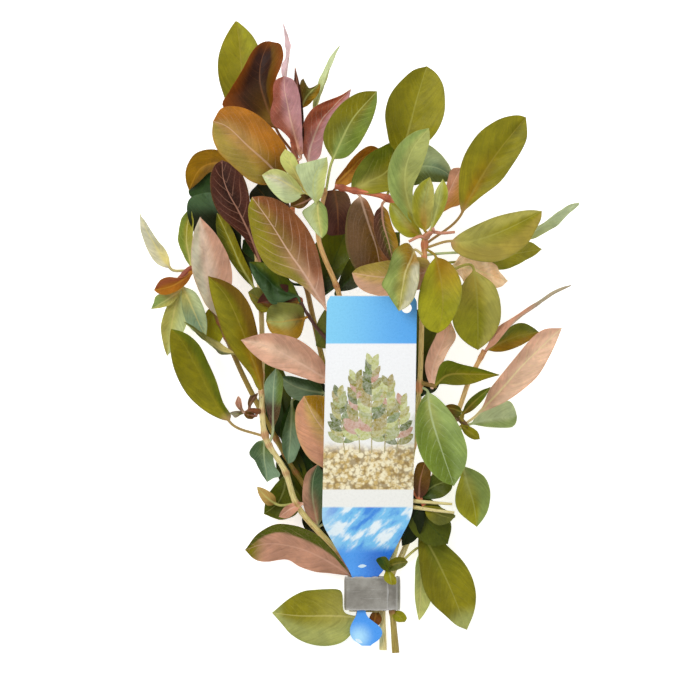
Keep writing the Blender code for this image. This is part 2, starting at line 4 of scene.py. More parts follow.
import bmesh
import bpy
import numpy as np
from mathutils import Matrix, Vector


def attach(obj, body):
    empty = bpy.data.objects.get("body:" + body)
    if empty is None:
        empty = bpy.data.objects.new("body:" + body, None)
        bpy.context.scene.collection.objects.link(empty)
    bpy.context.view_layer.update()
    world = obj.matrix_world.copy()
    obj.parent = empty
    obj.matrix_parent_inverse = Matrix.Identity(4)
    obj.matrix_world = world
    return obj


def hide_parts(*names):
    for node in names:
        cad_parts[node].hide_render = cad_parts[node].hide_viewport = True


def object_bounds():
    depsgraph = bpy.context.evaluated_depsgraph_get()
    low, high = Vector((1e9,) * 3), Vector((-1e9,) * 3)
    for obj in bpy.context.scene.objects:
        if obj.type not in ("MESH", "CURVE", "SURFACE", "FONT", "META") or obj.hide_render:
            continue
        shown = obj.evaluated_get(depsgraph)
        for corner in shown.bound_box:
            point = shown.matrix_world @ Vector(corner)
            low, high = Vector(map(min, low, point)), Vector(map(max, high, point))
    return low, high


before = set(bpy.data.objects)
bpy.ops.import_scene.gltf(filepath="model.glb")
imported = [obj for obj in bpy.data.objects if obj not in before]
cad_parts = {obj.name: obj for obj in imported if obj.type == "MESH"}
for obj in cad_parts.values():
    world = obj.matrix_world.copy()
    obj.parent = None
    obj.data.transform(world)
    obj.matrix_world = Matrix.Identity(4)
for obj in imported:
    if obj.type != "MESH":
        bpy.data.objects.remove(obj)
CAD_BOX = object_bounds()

MM = 0.001
BOX_LOW, BOX_HIGH = (np.array(corner) / MM for corner in CAD_BOX)

# Sheet thicknesses and section sizes in millimetres
LEAF_HALF_THICK = 0.13
RIM_HALF_THICK = 0.05
PETIOLE_HALF = 0.5
PETIOLE_RIM = 0.03
TIP_HALF = 0.06
LABEL_THICK = 0.5
STRIP_WALL = 0.8
STEM_RADIUS = 1.15
TWIG_RADIUS = 0.8

# A blade's relief in millimetres on its top and underside: quilting, side veins and midrib
PILLOW = (0.13, 0.06)
FURROW = (0.10, 0.12)
GROOVE = (0.10, 0.36)

# Side veins on each half of a long blade, the fine share of a wavy edge, and how deep the
# dents of a smooth blade are and how far from the midrib they reach their depth
SIDE_VEINS = 9
FINE_WAVE = 0.4
LEAST_DENTS, DENT_REACH = 0.18, 3

# How strongly a leaf's side is tinted, and how softly its foot and tip change colour
SIDE_TINT = 0.85
SOFT_SHARE = 0.08

# Swellings of a stem at its cut end and nodes, as a share of its radius with their reach in
# millimetres, its ribs and taper as a share too, and how far petioles start from its middle
CUT_SWELL, CUT_REACH = 0.22, 7
NODE_SWELL, NODE_REACH = 0.28, 1.3
RIB_SWELL = 0.04
STEM_TAPER = 0.25
TWIG_TAPER = 0.35
FOOT_CLEARANCE = 0.4

# Mesh steps in millimetres, apart from the outline's, which is in pixels, and mesh counts
LEAF_ROW_STEP = 0.75
LEAF_COLUMN_STEP = 0.75
STEM_RING_STEP = 0.7
LABEL_ROW_STEP = 0.6
OUTLINE_STEP = 3.0
STEM_SIDES = 16
TWIG_SIDES = 12
LABEL_COLUMNS = 26
HOLE_SIDES = 48
LEAST_ROWS, LEAST_COLUMNS = 16, 11
SHARP_ANGLE = math.radians(55)

# The outlines' camera in millimetres, and what one pixel spans at a given height
CAMERA = (-7.3125, -0.5625, 3000.0)
PICTURE = 680
PIXEL = 0.375
PIXEL_HEIGHT = 30.0

# The scene's camera in metres, and its lights: place, size and power
CAMERA_PLACE = (-0.0073, -0.00056, 3.0)
CAMERA_LENS = 419
CAMERA_SENSOR = 36
LIGHTS = {
    "key": ((-0.7, 0.6, 1.3), 0.8, 12.6),
    "fill": ((0.9, -0.3, 1.2), 1.2, 4),
    "back": ((0.1, 1.2, 0.7), 1.0, 3),
}
WORLD_STRENGTH = 0.5
FLOOR_HALF = 6.0
FLOOR_DROP = 0.0001

# What a mesh carries at each point: the numbers, the kind of layer and its values' name
FACTS = {
    "tint": (3, "FLOAT_COLOR", "color"),
    "vein_tint": (3, "FLOAT_COLOR", "color"),
    "leaf": (3, "FLOAT_VECTOR", "vector"),
    "rib": (1, "FLOAT", "value"),
    "under": (1, "FLOAT", "value"),
}

# The least height of a leaf's points, and how far inside the solids' box the middle of a
# leaf's thickness and all points stay, in millimetres
LEAST_HEIGHT = 0.05
BOX_MARGIN = 0.25
EDGE_MARGIN = 0.02

# Lead strip in millimetres: middle in plan, then width, length along the bunch and height
STRIP_CENTRE = (4.9, -96.4)
STRIP_SIZE = (22.0, 13.0, 9.0)
STRIP_INSET = 0.35
STRIP_SIDES = 160
STRIP_STEPS = 26
FLAP_X = (-4.9, 10.9)
FLAP_THICK = 0.5
FLAP_GRID = (46, 22)
STRIP_ROUNDING = 0.022

# The strip's pale folds, painted highlights where it bends, in metres across the bunch
STRIP_FOLD_HIGHLIGHTS = ((-0.0072, -0.0054), (0.0136, 0.0148))

# The label's outline in millimetres, from its head to its drop: y, left edge and right edge
LABEL_EDGES = (
    (15.9, -10.4, 19.8), (15.3, -11.5, 20.9), (14.0, -12.2, 21.5), (-25.0, -13.1, 21.0),
    (-64.0, -14.0, 20.2), (-67.0, -14.1, 19.6), (-70.0, -13.8, 18.4), (-73.0, -12.3, 16.8),
    (-80.0, -8.3, 13.2), (-88.0, -3.6, 9.0), (-93.0, -1.8, 3.9), (-98.0, -0.9, 2.5),
    (-104.5, -0.9, 2.4), (-106.5, -2.2, 4.4), (-108.5, -3.3, 7.6), (-111.0, -3.7, 9.0),
    (-113.5, -2.9, 8.0), (-115.0, -1.1, 6.1), (-115.8, 0.4, 4.7), (-116.2, 1.8, 3.3),
)
LABEL_NECK_Z = 7.2
LABEL_BEND_Y = (-91.0, -84.0)
LABEL_SLOPE = math.radians(18.5)
LABEL_HOLE = (17.6, 11.4, 1.9)
DRILL_LENGTH = 10

# The printed picture in millimetres: its sides, the sprigs' places, heights and leans, and
# the glints' places, turns and lengths; the glints are painted highlights on the glossy card
PICTURE_X = (-12.0, 20.2)
SPRIG_FOOT_Y = -43.0
SPRIGS = (
    (-5.5, 21, -0.12), (14.0, 18, 0.10), (0.2, 27, -0.06), (9.4, 25, 0.06), (4.6, 33, 0.0),
)
SPRIG_HALF = 0.22
BLADE_STEP = 2.6
INK_SUNK, INK_LIFT, INK_STEP = 0.02, 0.012, 0.0004
GLINTS = (((-0.6, -86.2), 0.1, 3.4), ((-1.6, -113.6), -0.5, 3.2))
GLINT_WIDTH, GLINT_LIFT = 1.3, 0.02

# Where the print changes along the card, in metres from the first y to the second, and the
# middle and reach of the drop's pale spot, a painted highlight
HEADER_FOOT = (-0.0022, -0.0016)
PAPER_SHADE = (-0.056, -0.002)
SAND_TOP = (-0.0350, -0.0400)
SAND_FOOT = (-0.0572, -0.0566)
WATER_TOP = (-0.0632, -0.0640)
NECK_TOP = (-0.0815, -0.0775)
DROP_TOP = (-0.096, -0.103)
DROP_HIGHLIGHT_MIDDLE = (-0.0002, -0.1128)
DROP_HIGHLIGHT_REACH = 0.0066
CARD_BLUE_TOP = (-0.074, -0.080)

# Colours by name, as red, green and blue from 0 to 255
PALETTE = {
    "olive": (136, 130, 22), "moss": (116, 110, 4), "lime": (152, 150, 26), "fern": (88, 100, 8),
    "khaki": (160, 142, 60), "hay": (174, 168, 86), "sage": (160, 166, 96),
    "mist": (184, 198, 150), "pear": (190, 194, 114), "leafgreen": (106, 126, 40),
    # night, a near-black green, is the dark leaves' own colour with painted shade in it, for where
    # they lie deep in the bunch
    "fresh": (138, 160, 88), "forest": (40, 66, 20), "night": (26, 34, 6), "bottle": (80, 88, 12),
    "teal": (72, 98, 64), "bluegreen": (126, 152, 122), "pink": (214, 166, 142),
    "blush": (228, 190, 164), "dusty": (194, 144, 120), "flesh": (206, 146, 120),
    "salmon": (210, 122, 86), "amber": (192, 138, 50), "orange": (172, 106, 18),
    "ochre": (154, 114, 8), "rust": (124, 66, 14), "brick": (156, 80, 54), "maroon": (80, 44, 34),
    "wine": (50, 26, 18), "brown": (102, 72, 14), "cocoa": (136, 88, 54), "bark": (100, 74, 48),
    "tan": (190, 158, 92), "straw": (216, 204, 128), "cream": (228, 218, 158),
    "dusk": (100, 104, 42), "umber": (138, 108, 46), "russet": (130, 72, 40),
    "honey": (180, 138, 76), "lilac": (216, 188, 196), "shell": (252, 216, 180),
    "mauve": (186, 136, 142), "silver": (198, 196, 172), "rosewhite": (214, 188, 168),
    "twig": (224, 182, 124), "node": (170, 92, 58), "ash": (160, 150, 128),
    "glint": (206, 236, 255),
}
SPRIG_COLOURS = ("leafgreen", "hay", "sage", "fern", "khaki", "pear", "olive", "dusty")

# Looks of the leaves: roughness, how strong the veins and their net are, coat, and how much
# of a side vein stays where it is broken
LEAF_LOOKS = {
    "leaf_olive": (0.42, 0.10, 0.04, 0.05, 0.2),
    "leaf_green": (0.42, 0.28, 0.06, 0.06, 0.2),
    "leaf_dark_green": (0.38, 0.06, 0.04, 0.06, 0.2),
    "leaf_grey_green": (0.50, 0.20, 0.06, 0.02, 0.2),
    "leaf_pink": (0.55, 0.24, 0.08, 0.0, 0.2),
    "leaf_rust": (0.44, 0.14, 0.05, 0.05, 0.2),
    "leaf_maroon": (0.42, 0.38, 0.06, 0.05, 0.6),
}

# Stem routes, from the cut end to the growing tip
STEMS = {
    "stem_left": (
        (-2.4, -103.4, 2.5), (-2.4, -96.0, 2.5), (-2.8, -89.0, 2.8), (-8.0, -81.0, 4.8),
        (-22.7, -64.3, 11.0), (-28.0, -50.0, 16.0), (-35.4, -36.9, 19.0), (-36.8, -20.0, 20.0),
        (-36.6, -2.0, 18.0), (-37.5, 18.0, 15.0), (-40.0, 40.0, 13.5), (-46.0, 66.0, 12.0),
    ),
    "stem_far_left": (
        (0.5, -106.0, 4.6), (0.5, -96.0, 5.0), (-0.6, -89.0, 5.4), (-5.0, -80.0, 4.4),
        (-14.0, -66.0, 4.6), (-28.0, -44.0, 6.5), (-42.0, -18.0, 8.0), (-51.0, 2.0, 9.5),
        (-61.5, 25.0, 12.0),
    ),
    "stem_centre": (
        (3.4, -103.6, 2.5), (3.4, -96.0, 2.5), (3.0, -82.0, 5.4), (1.0, -60.0, 10.0),
        (-4.0, -30.0, 18.0), (-7.0, 0.0, 24.0), (-7.6, 16.3, 27.0), (-15.4, 37.7, 33.0),
        (-13.0, 55.0, 37.0),
    ),
    "stem_top_left": (
        (6.3, -103.6, 5.0), (6.3, -96.0, 5.0), (6.2, -84.0, 3.0), (3.5, -72.0, 2.6),
        (-0.5, -58.0, 3.8), (-11.0, -20.0, 8.5), (-19.0, 15.0, 13.0), (-25.0, 45.0, 20.0),
        (-23.5, 62.0, 25.0), (-25.0, 74.0, 27.0),
    ),
    "stem_middle_right": (
        (9.0, -118.0, 2.5), (9.2, -96.0, 2.5), (14.0, -78.0, 6.0), (19.0, -50.0, 13.0),
        (22.5, -20.0, 22.0), (23.5, 10.0, 30.0), (24.5, 38.0, 36.0),
    ),
    "stem_right": (
        (13.8, -119.0, 5.4), (12.1, -96.0, 5.0), (12.6, -89.0, 4.9), (17.0, -80.0, 3.6),
        (27.0, -55.0, 9.0), (37.0, -28.0, 18.0), (41.4, -15.6, 23.0), (47.0, -4.5, 26.0),
    ),
    "branch_salmon": (
        (20.6, 40.2, 35.0), (16.5, 47.0, 34.6), (10.0, 52.8, 34.5), (-3.0, 55.6, 35.5),
        (-9.2, 57.0, 36.5),
    ),
}

# The colours of a stem low down, half way, at its top and where leaves sit on it
STEM_COLOURS = {
    "stem_left": ("straw", "cream", "tan", "node"),
    "stem_far_left": ("tan", "khaki", "brown", "brick"),
    "stem_centre": ("straw", "tan", "twig", "brick"),
    "stem_top_left": ("straw", "khaki", "salmon", "maroon"),
    "stem_middle_right": ("cream", "straw", "twig", "salmon"),
    "stem_right": ("khaki", "cream", "twig", "node"),
    "branch_salmon": ("salmon", "salmon", "salmon", "brick"),
}

# The colours of a twig at its foot and beyond. Other twigs have those of their stem's top.
TWIG_COLOURS = {
    "shoot_middle_left": ("brown", "maroon"),
    "shoot_right_upper": ("khaki", "umber"),
    "shoot_right_lower": ("umber", "brown"),
    "root_upper": ("cream", "cream"),
    "root_lower": ("cream", "cream"),
    "dried_sprout": ("brown", "rust"),
    "rosette_right": ("pink", "flesh"),
    "branch_of_rosette_right": ("pink", "flesh"),
    "branch_of_rosette_left": ("pink", "flesh"),
    "sprout_at_strip": ("lime", "brown"),
}

# The random seed before that of the first young leaf; grown leaves count from 1
FIRST_SHOOT_SEED = 100


def drawn(
    foot, height, look, outline, rise=0.0, arch=1.0, fold=6.0, cup=0.6, wave=0.25, crumple=0.0,
    veins=0.6, rim=0.06, hem=0.4, tip_rim=0.35, root=None, band=None, cap=None, stalk=None,
):
    """One leaf: its foot on the stem in plan, the height of its tip, and its outline.

    look names its colours: foot, tip, left, right, rim, vein, under, with a hyphen for none of
    its own. rise lifts the right edge and lowers the left. root, band and cap are a share of the
    blade with the colour that it has up to there from its foot, from there on towards its right
    edge, or from there to its tip.
    """
    edges = [np.array(part.split(), float).reshape(-1, 2) for part in outline.split("|")]
    return {
        "foot": foot, "height": height, "look": look.split(), "edges": edges, "rise": rise,
        "arch": arch, "fold": fold, "cup": cup, "wave": wave, "crumple": crumple,
        "veins": veins, "rim": rim, "hem": hem, "tip_rim": tip_rim, "root": root, "band": band,
        "cap": cap, "stalk": stalk,
    }


def shoot(stem, slot, twig, *leaves):
    """Young leaves on a twig of their own, or straight on the stem where twig is empty."""
    return {"stem": stem, "slot": slot, "twig": twig, "leaves": leaves}


# Outlines are read off the picture, in its pixels: left edge | midrib | right edge, each from
# the foot of the blade to its tip. The midrib's own ends are the foot and the tip.
LEAVES = {
    "stem_left": {
        "leaf_top_olive": drawn((-46, 65), 0.5, "moss olive - lime dusk khaki tan",
            "232 124 225 100 219 80 218 62 222 45 229 31 | 238 140 242 92 240 50 236 20 | 247 "
            "128 256 100 261 76 261 56 256 42 248 31", arch=2, fold=7),
        "leaf_left_amber": drawn((-45, 62), 5, "brown ochre brown ochre brown amber dusty",
            "222 171 210 172 200 181 | 236 167 214 163 199 170 189 190 | 230 155 213 149 196 153 "
            "187 167 186 180", arch=1, rim=0.14),
        "leaf_maroon_behind": drawn((-38, 28), 21, "maroon wine maroon maroon brown dusty dusty",
            "250 247 240 233 222 217 213 201 210 181 214 166 | 261 265 250 235 239 212 229 194 "
            "223 177 222 160 | 260 254 254 235 251 214 249 195 245 180 237 167", arch=2, fold=10,
            veins=0.75),
        "leaf_dark_green_upper": drawn((-41, 46), 2.5, "night forest - - - forest dusk",
            "233 216 214 210 199 202 190 195 | 244 212 226 196 209 184 189 188 | 246 194 236 176 "
            "222 164 209 163 197 171", arch=1, fold=6, veins=0.4),
        # The teal cap at its tip is a painted highlight on this dark leaf
        "leaf_dark_green_lower": drawn((-38, 23), 10.5, "night night - - - forest dusk",
            "240 264 220 252 200 240 190 224 187 208 191 198 | 252 272 234 242 217 214 203 193 | "
            "255 262 242 250 241 230 233 212 223 200 212 193", arch=1, fold=8, veins=0.4,
            cap=(0.78, "teal")),
        "leaf_olive_long": drawn((-36.8, -20), 30, "ochre moss olive brown brown khaki dusty",
            "257 388 250 374 236 356 224 336 217 316 212 300 209 286 | 263 392 252 358 240 325 "
            "226 296 208 276 | 263 375 260 350 256 326 250 306 241 292 231 284 220 279", arch=1,
            fold=10),
        "leaf_dark_edge_on": drawn((-36.8, -14), 17, "straw dusk forest - forest straw sage",
            "222 356 212 350 200 339 191 329 | 236 354 220 350 206 340 195 331 184 322 | 222 346 "
            "210 341 200 334 190 326", rise=-3.6, veins=0.3),
        "leaf_left_big_olive": drawn((-35.4, -37), 18, "olive moss - fern dusk olive tan",
            "220 419 205 411 190 398 180 383 173 365 170 346 170 334 | 229 421 213 398 197 368 "
            "183 343 171 329 | 231 415 223 402 216 380 208 362 200 346 190 336 180 331", arch=1,
            fold=9, veins=0.5, stalk="pink"),
        "leaf_dark_olive_low": drawn((-28, -51), 6, "bottle bottle - fern dusk sage sage",
            "293 484 302 497 298 512 283 520 272 518 | 286 474 284 490 277 504 264 514 | 281 478 "
            "272 488 266 500 264 508", arch=-5, fold=8),
        "leaf_folded_pink_low": drawn((-8, -81), 6, "dusty dusty dusty - - pink pink",
            "338 574 319 571 301 566 286 559 268 561 255 559 | 352 576 322 558 291 546 265 544 "
            "245 550 | 343 562 331 546 316 532 296 524 276 523 258 533", arch=4, rise=4, fold=4,
            veins=0.5, band=(0.52, "bottle"), cap=(0.86, "moss")),
    },
    "stem_far_left": {
        "leaf_pink_upright": drawn(
            (-50, 1), 22, "rosewhite rosewhite silver dusty pink rosewhite pink",
            "214 313 205 303 197 286 192 270 191 250 194 231 | 223 322 214 292 207 266 203 240 "
            "200 217 | 224 308 229 295 232 275 229 258 222 243 213 230", fold=9, veins=0.8,
            crumple=0.45),
        "leaf_lower_left_flat": drawn((0.5, -104.7), 0.6, "hay olive sage - leafgreen straw sage",
            "355 628 346 640 335 645 320 646 304 642 291 634 282 624 | 356 617 330 616 300 616 "
            "272 613 | 350 615 345 613 343 608 343 600 342 592 336 589 312 590 302 592 289 599",
            cup=0.4, wave=0.1, cap=(0.9, "sage")),
        "leaf_back_left": drawn((-28, -44), 0.6, "forest bottle - - - forest dusk",
            "275 431 263 411 258 387 261 362 | 283 442 267 346 | 288 429 292 406 288 382 277 359"),
    },
    "stem_centre": {
        "leaf_pink_brown_big": drawn((-7.5, 9), 34, "pink umber olive russet - blush pink",
            "318 301 303 286 289 278 274 272 263 261 255 245 250 226 248 209 | 326 309 305 275 "
            "289 252 270 222 252 197 | 325 296 323 280 320 262 315 244 305 225 290 208 276 199 "
            "262 196", arch=2, fold=8, veins=0.9, root=(0.2, "pink")),
        "leaf_pink_level": drawn((-6, -17), 36, "pink blush pink dusty dusty blush pink",
            "320 383 305 378 285 371 268 365 255 356 247 348 | 331 382 305 366 280 352 260 344 "
            "241 340 | 327 371 320 358 308 346 295 338 280 334 265 333 252 336", arch=2, fold=9,
            veins=0.6),
        "leaf_tan_pink_low": drawn((-2, -48), 22, "pink tan flesh - tan blush pink",
            "340 477 322 467 308 457 299 442 295 425 296 408 | 351 470 333 442 315 418 304 396 | "
            "347 441 345 418 336 402 320 395", arch=1, fold=8, band=(0.12, "ochre")),
        "leaf_dark_green_low": drawn((0.5, -58), 9, "forest night - - - forest dusk",
            "340 481 325 476 313 466 307 451 | 350 481 305 439 | 349 472 343 457 333 446 317 440"),
        "leaf_green_top": drawn((-13, 55), 43, "fresh moss moss leafgreen dusk pear sage",
            "328 151 324 141 325 129 332 115 342 103 355 94 366 91 | 333 159 342 139 354 117 377 "
            "91 | 346 157 357 147 366 133 373 118 377 103", arch=1, fold=11, veins=1.0),
    },
    "stem_top_left": {
        "leaf_orange_broad": drawn((-24, 57), 35, "ochre honey khaki orange orange blush dusty",
            "275 183 262 184 249 180 237 170 226 160 217 150 212 136 | 284 181 267 163 247 145 "
            "228 127 213 121 | 289 163 286 148 276 133 262 118 247 109 234 106 221 108", arch=2,
            fold=5, veins=0.6, root=(0.24, "brown")),
        "leaf_rust_folded": drawn((-24, 69), 20, "brown wine wine wine rust cocoa rust",
            "256 124 238 118 223 107 231 92 243 72 250 57 257 47 264 42 | 276 128 266 104 260 82 "
            "261 62 269 41 | 276 115 274 98 276 82 281 70 284 58 281 46 274 43", cup=3.2, fold=10,
            rim=0.3, hem=1.0, tip_rim=1.0, wave=0.5, veins=0.35, band=(0.42, "brown"),
            root=(0.2, "umber")),
        "leaf_pink_top": drawn((-23.5, 67), 35, "flesh mauve brick mauve - blush maroon",
            "296 150 290 137 281 129 272 122 270 110 273 98 273 86 276 79 | 301 158 295 137 289 "
            "112 285 92 284 76 | 303 146 302 130 301 112 300 97 297 85 292 78", cup=1.8, fold=14,
            veins=0.5, crumple=0.5, wave=0.6),
        "leaf_dusty_pink_folded": drawn(
            (-23.5, 64), 30, "mauve brick brick mauve - rosewhite dusty",
            "302 148 301 134 305 120 312 109 321 103 331 99 341 95 | 308 163 312 142 321 121 334 "
            "106 351 89 | 320 156 324 138 330 118 339 108 348 100", fold=16, cup=1.0, wave=0.6,
            veins=0.9, crumple=0.5),
        "leaf_grey_edge_on": drawn((-24, 71), 18, "sage mist - - - sage sage",
            "314 104 319 89 325 72 331 58 | 314 114 321 92 328 72 332 60 340 45 | 318 103 324 90 "
            "331 73 335 61", rise=3.5, wave=0.1, veins=0.3),
        "leaf_back_lower": drawn((-3, -50), 0.6, "forest night - - - forest dusk",
            "334 453 317 437 307 417 305 392 | 346 459 309 375 | 350 446 350 423 341 401 324 384"),
        "leaf_back_middle": drawn((-9, -27), 0.6, "forest night - - - forest dusk",
            "337 384 336 359 343 336 360 317 | 340 397 375 307 | 352 390 369 372 379 350 379 324"),
    },
    "stem_middle_right": {
        "leaf_right_big_olive": drawn((24.5, 35.6), 38, "ochre moss olive olive dusk khaki tan",
            "460 205 459 190 460 170 466 152 478 134 492 123 505 117 518 115 | 462 213 474 190 "
            "495 156 526 117 | 470 206 482 196 500 182 512 166 522 150 527 138 527 126", fold=10,
            veins=0.6, stalk="flesh"),
        "leaf_right_green_olive": drawn((24.5, 34), 34, "hay olive hay khaki dusk hay sage",
            "461 233 476 225 495 217 515 212 530 210 | 451 241 476 240 507 229 542 211 | 452 248 "
            "462 256 478 261 495 262 511 256 527 244 536 229 541 219", fold=9, veins=0.6,
            stalk="flesh"),
        "leaf_right_narrow": drawn((24.3, 31), 24, "sage mist - - - mist mist",
            "532 228 544 219 557 210 570 203 | 522 239 541 227 561 214 582 202 | 532 238 547 229 "
            "563 217 574 208", rise=-4, wave=0.1, veins=0.3),
        "leaf_right_dark_green": drawn((24, 27.5), 3, "fern olive - - leafgreen hay sage",
            "470 250 500 250 517 243 529 242 | 455 262 485 260 513 254 542 249 | 470 270 490 270 "
            "506 269 523 261 535 255", fold=8, wave=0.6, veins=0.4),
        "leaf_crumpled_pink": drawn((24, 24), 18, "shell shell shell shell flesh cream blush",
            "462 254 477 256 489 262 499 271 | 452 266 470 268 489 274 508 281 | 459 276 466 286 "
            "482 290 498 287", crumple=0.9, wave=0.8, veins=0.9),
        "leaf_oval_olive": drawn((24.6, 33.7), 42, "ochre lime - lime dusk khaki sage",
            "448 262 457 272 462 286 461 300 455 315 447 327 | 436 257 441 280 443 306 438 333 | "
            "430 265 425 276 420 290 418 305 420 319 428 329", arch=4, fold=7, veins=0.5),
        "leaf_round_olive": drawn((23.9, 20), 24, "khaki lime hay - dusk hay sage",
            "485 277 494 284 499 295 501 308 500 321 495 333 488 342 | 474 270 477 295 478 320 "
            "478 350 | 465 280 457 295 453 310 453 323 459 335 468 344", fold=7, veins=0.5),
        "leaf_tan_pink_behind": drawn((24.2, 29), 37, "flesh tan pink khaki - blush pink",
            "428 286 413 291 395 297 375 295 362 290 355 282 | 432 271 406 276 380 277 352 273 | "
            "427 259 410 257 390 260 369 264 357 268", fold=6, veins=0.5),
        "leaf_front_folded": drawn((24.5, 31.2), 46, "ochre hay silver fresh fern cream sage",
            "417 262 418 280 415 296 408 306 | 414 250 406 271 402 291 399 311 | 403 246 393 253 "
            "389 264 386 276 381 287 387 293 393 302", arch=4, fold=18, cup=1.2, crumple=0.8,
            veins=1.0, root=(0.25, "ochre")),
        "leaf_pale_upright": drawn((24.5, 36), 46, "hay sage fresh sage sage pear mist",
            "411 222 400 208 391 195 388 180 389 165 395 150 404 139 416 131 | 418 228 408 200 "
            "405 175 412 150 429 128 | 420 222 417 208 413 195 414 184 421 169 427 152 430 138",
            arch=2, fold=12, cup=0.8, veins=0.6),
        "leaf_right_green_big": drawn(
            (22.5, -18), 28, "sage leafgreen fresh leafgreen fresh mist sage",
            "437 398 450 412 461 430 467 448 466 463 460 476 | 428 392 431 415 440 445 454 486 | "
            "421 402 416 418 416 438 421 456 430 470 442 481", arch=4, fold=10, veins=0.8),
        "leaf_lower_right_big": drawn((14.5, -76), 0.6, "fern olive - moss dusk hay sage",
            "437 537 450 548 463 561 472 577 476 595 474 612 | 420 529 437 560 452 592 467 630 | "
            "418 545 420 570 424 589 432 603 445 615 456 625", cup=0.4, wave=0.2, veins=0.7,
            cap=(0.84, "sage")),
        "leaf_back_right": drawn((20.5, -40), 0.6, "forest night - - - forest dusk",
            "403 421 391 401 387 378 391 354 | 412 431 398 339 | 417 419 422 397 419 373 408 351"),
    },
    "stem_right": {
        "leaf_pink_edge_on": drawn((47, -4.5), 28, "dusty dusty dusty - - dusty ash",
            "492 338 500 328 513 320 531 308.5 551 294.5 563 288 | 486 350 499 335 513 322.5 532 "
            "309.5 552 295 572 285 | 496 345 505 335 516 323.5 533 310.5 553 295.6 563 289.3",
            rise=3.4, wave=0.1, veins=0.3, cap=(0.6, "ash")),
        "leaf_olive_behind_right": drawn((46, -7), 8, "ochre olive fern ochre dusk khaki sage",
            "500 337 509 327 520 323 531 327 | 487 350 505 341 521 335 539 332 | 495 352 506 351 "
            "521 345 533 338", fold=8),
        "leaf_pink_big_right": drawn((34.6, -35), 25, "pink blush pink blush dusty cream pink",
            "484 404 489 391 497 380 506 369 520 352 532 338 545 329 | 478 414 500 391 525 363 "
            "562 328 | 490 409 505 402 520 392 538 376 550 356 557 341", fold=8, veins=0.5),
        "leaf_grey_green_right": drawn((34, -37), 0.6, "mist mist - fresh mist mist sage",
            "480 411 495 403 508 401 514 408 | 471 424 490 419 505 417 517 416 | 485 427 500 428 "
            "512 427 516 421", cup=0.4, wave=0.2, veins=0.7),
        "leaf_green_olive_low": drawn((30, -46), 5, "sage lime fresh lime fresh pear sage",
            "475 470 485 477 490 490 489 505 484 517 | 463 466 468 485 474 505 477 527 | 460 478 "
            "456 490 455 501 458 510 467 519", fold=10, veins=0.6),
        "leaf_pale_narrow_low": drawn((14.4, -85), 0.6, "fresh pear - - fresh straw mist",
            "427 560 431 580 431 600 425 613 | 421 550 421 585 419 621 | 416 562 415 580 415 598 "
            "417 612", cup=0.3, wave=0.1),
    },
    "branch_salmon": {
        "leaf_olive_top_right": drawn((10, 52.8), 32, "moss olive moss olive dusk hay sage",
            "391 146 387 131 385 115 388 100 394 89 403 79 414 70 | 402 155 410 125 418 95 427 "
            "66 | 415 151 428 142 438 130 444 115 445 100 443 85 436 73", fold=9, veins=0.6),
        "leaf_green_centre": drawn((-2.5, 55.6), 30, "hay moss fern olive fern hay sage",
            "352 179 358 166 368 155 380 148 391 143 | 351 191 370 181 388 170 404 142 | 370 194 "
            "386 192 401 189 411 178 413 164 410 151", fold=9, veins=0.7),
        "leaf_grey_green_behind": drawn((14, 50), 26, "sage bluegreen mist bottle - mist sage",
            "412 150 425 144 437 151 446 161 451 171 | 405 171 424 166 440 169 454 178 | 412 185 "
            "425 182 440 182 449 181", fold=6, veins=0.4),
        "leaf_brown_green_long": drawn((-1, 55.2), 31, "bark brown cocoa bark dusk blush dusty",
            "367 200 374 215 380 232 386 250 389 266 | 360 196 368 222 377 250 382 280 | 352 203 "
            "347 215 345 235 348 254 359 272", fold=9, veins=0.7),
    },
}

# The grown leaves of each material
SLOTS = {
    "leaf_olive": ("leaf_top_olive", "leaf_olive_long", "leaf_left_big_olive",
        "leaf_dark_olive_low", "leaf_olive_top_right", "leaf_right_big_olive",
        "leaf_right_green_olive", "leaf_oval_olive", "leaf_round_olive", "leaf_lower_left_flat",
        "leaf_lower_right_big", "leaf_olive_behind_right", "leaf_green_olive_low",
        "leaf_brown_green_long"),
    "leaf_green": ("leaf_green_top", "leaf_green_centre", "leaf_right_green_big"),
    "leaf_dark_green": ("leaf_dark_green_upper", "leaf_dark_green_lower", "leaf_dark_edge_on",
        "leaf_dark_green_low", "leaf_right_dark_green", "leaf_back_left", "leaf_back_lower",
        "leaf_back_middle", "leaf_back_right"),
    "leaf_grey_green": ("leaf_grey_edge_on", "leaf_front_folded", "leaf_pale_upright",
        "leaf_grey_green_behind", "leaf_grey_green_right", "leaf_right_narrow",
        "leaf_pale_narrow_low"),
    "leaf_pink": ("leaf_pink_upright", "leaf_folded_pink_low", "leaf_pink_level",
        "leaf_tan_pink_low", "leaf_pink_top", "leaf_dusty_pink_folded", "leaf_tan_pink_behind",
        "leaf_crumpled_pink", "leaf_pink_edge_on", "leaf_pink_big_right"),
    "leaf_rust": ("leaf_left_amber", "leaf_orange_broad", "leaf_rust_folded"),
    "leaf_maroon": ("leaf_maroon_behind", "leaf_pink_brown_big"),
}

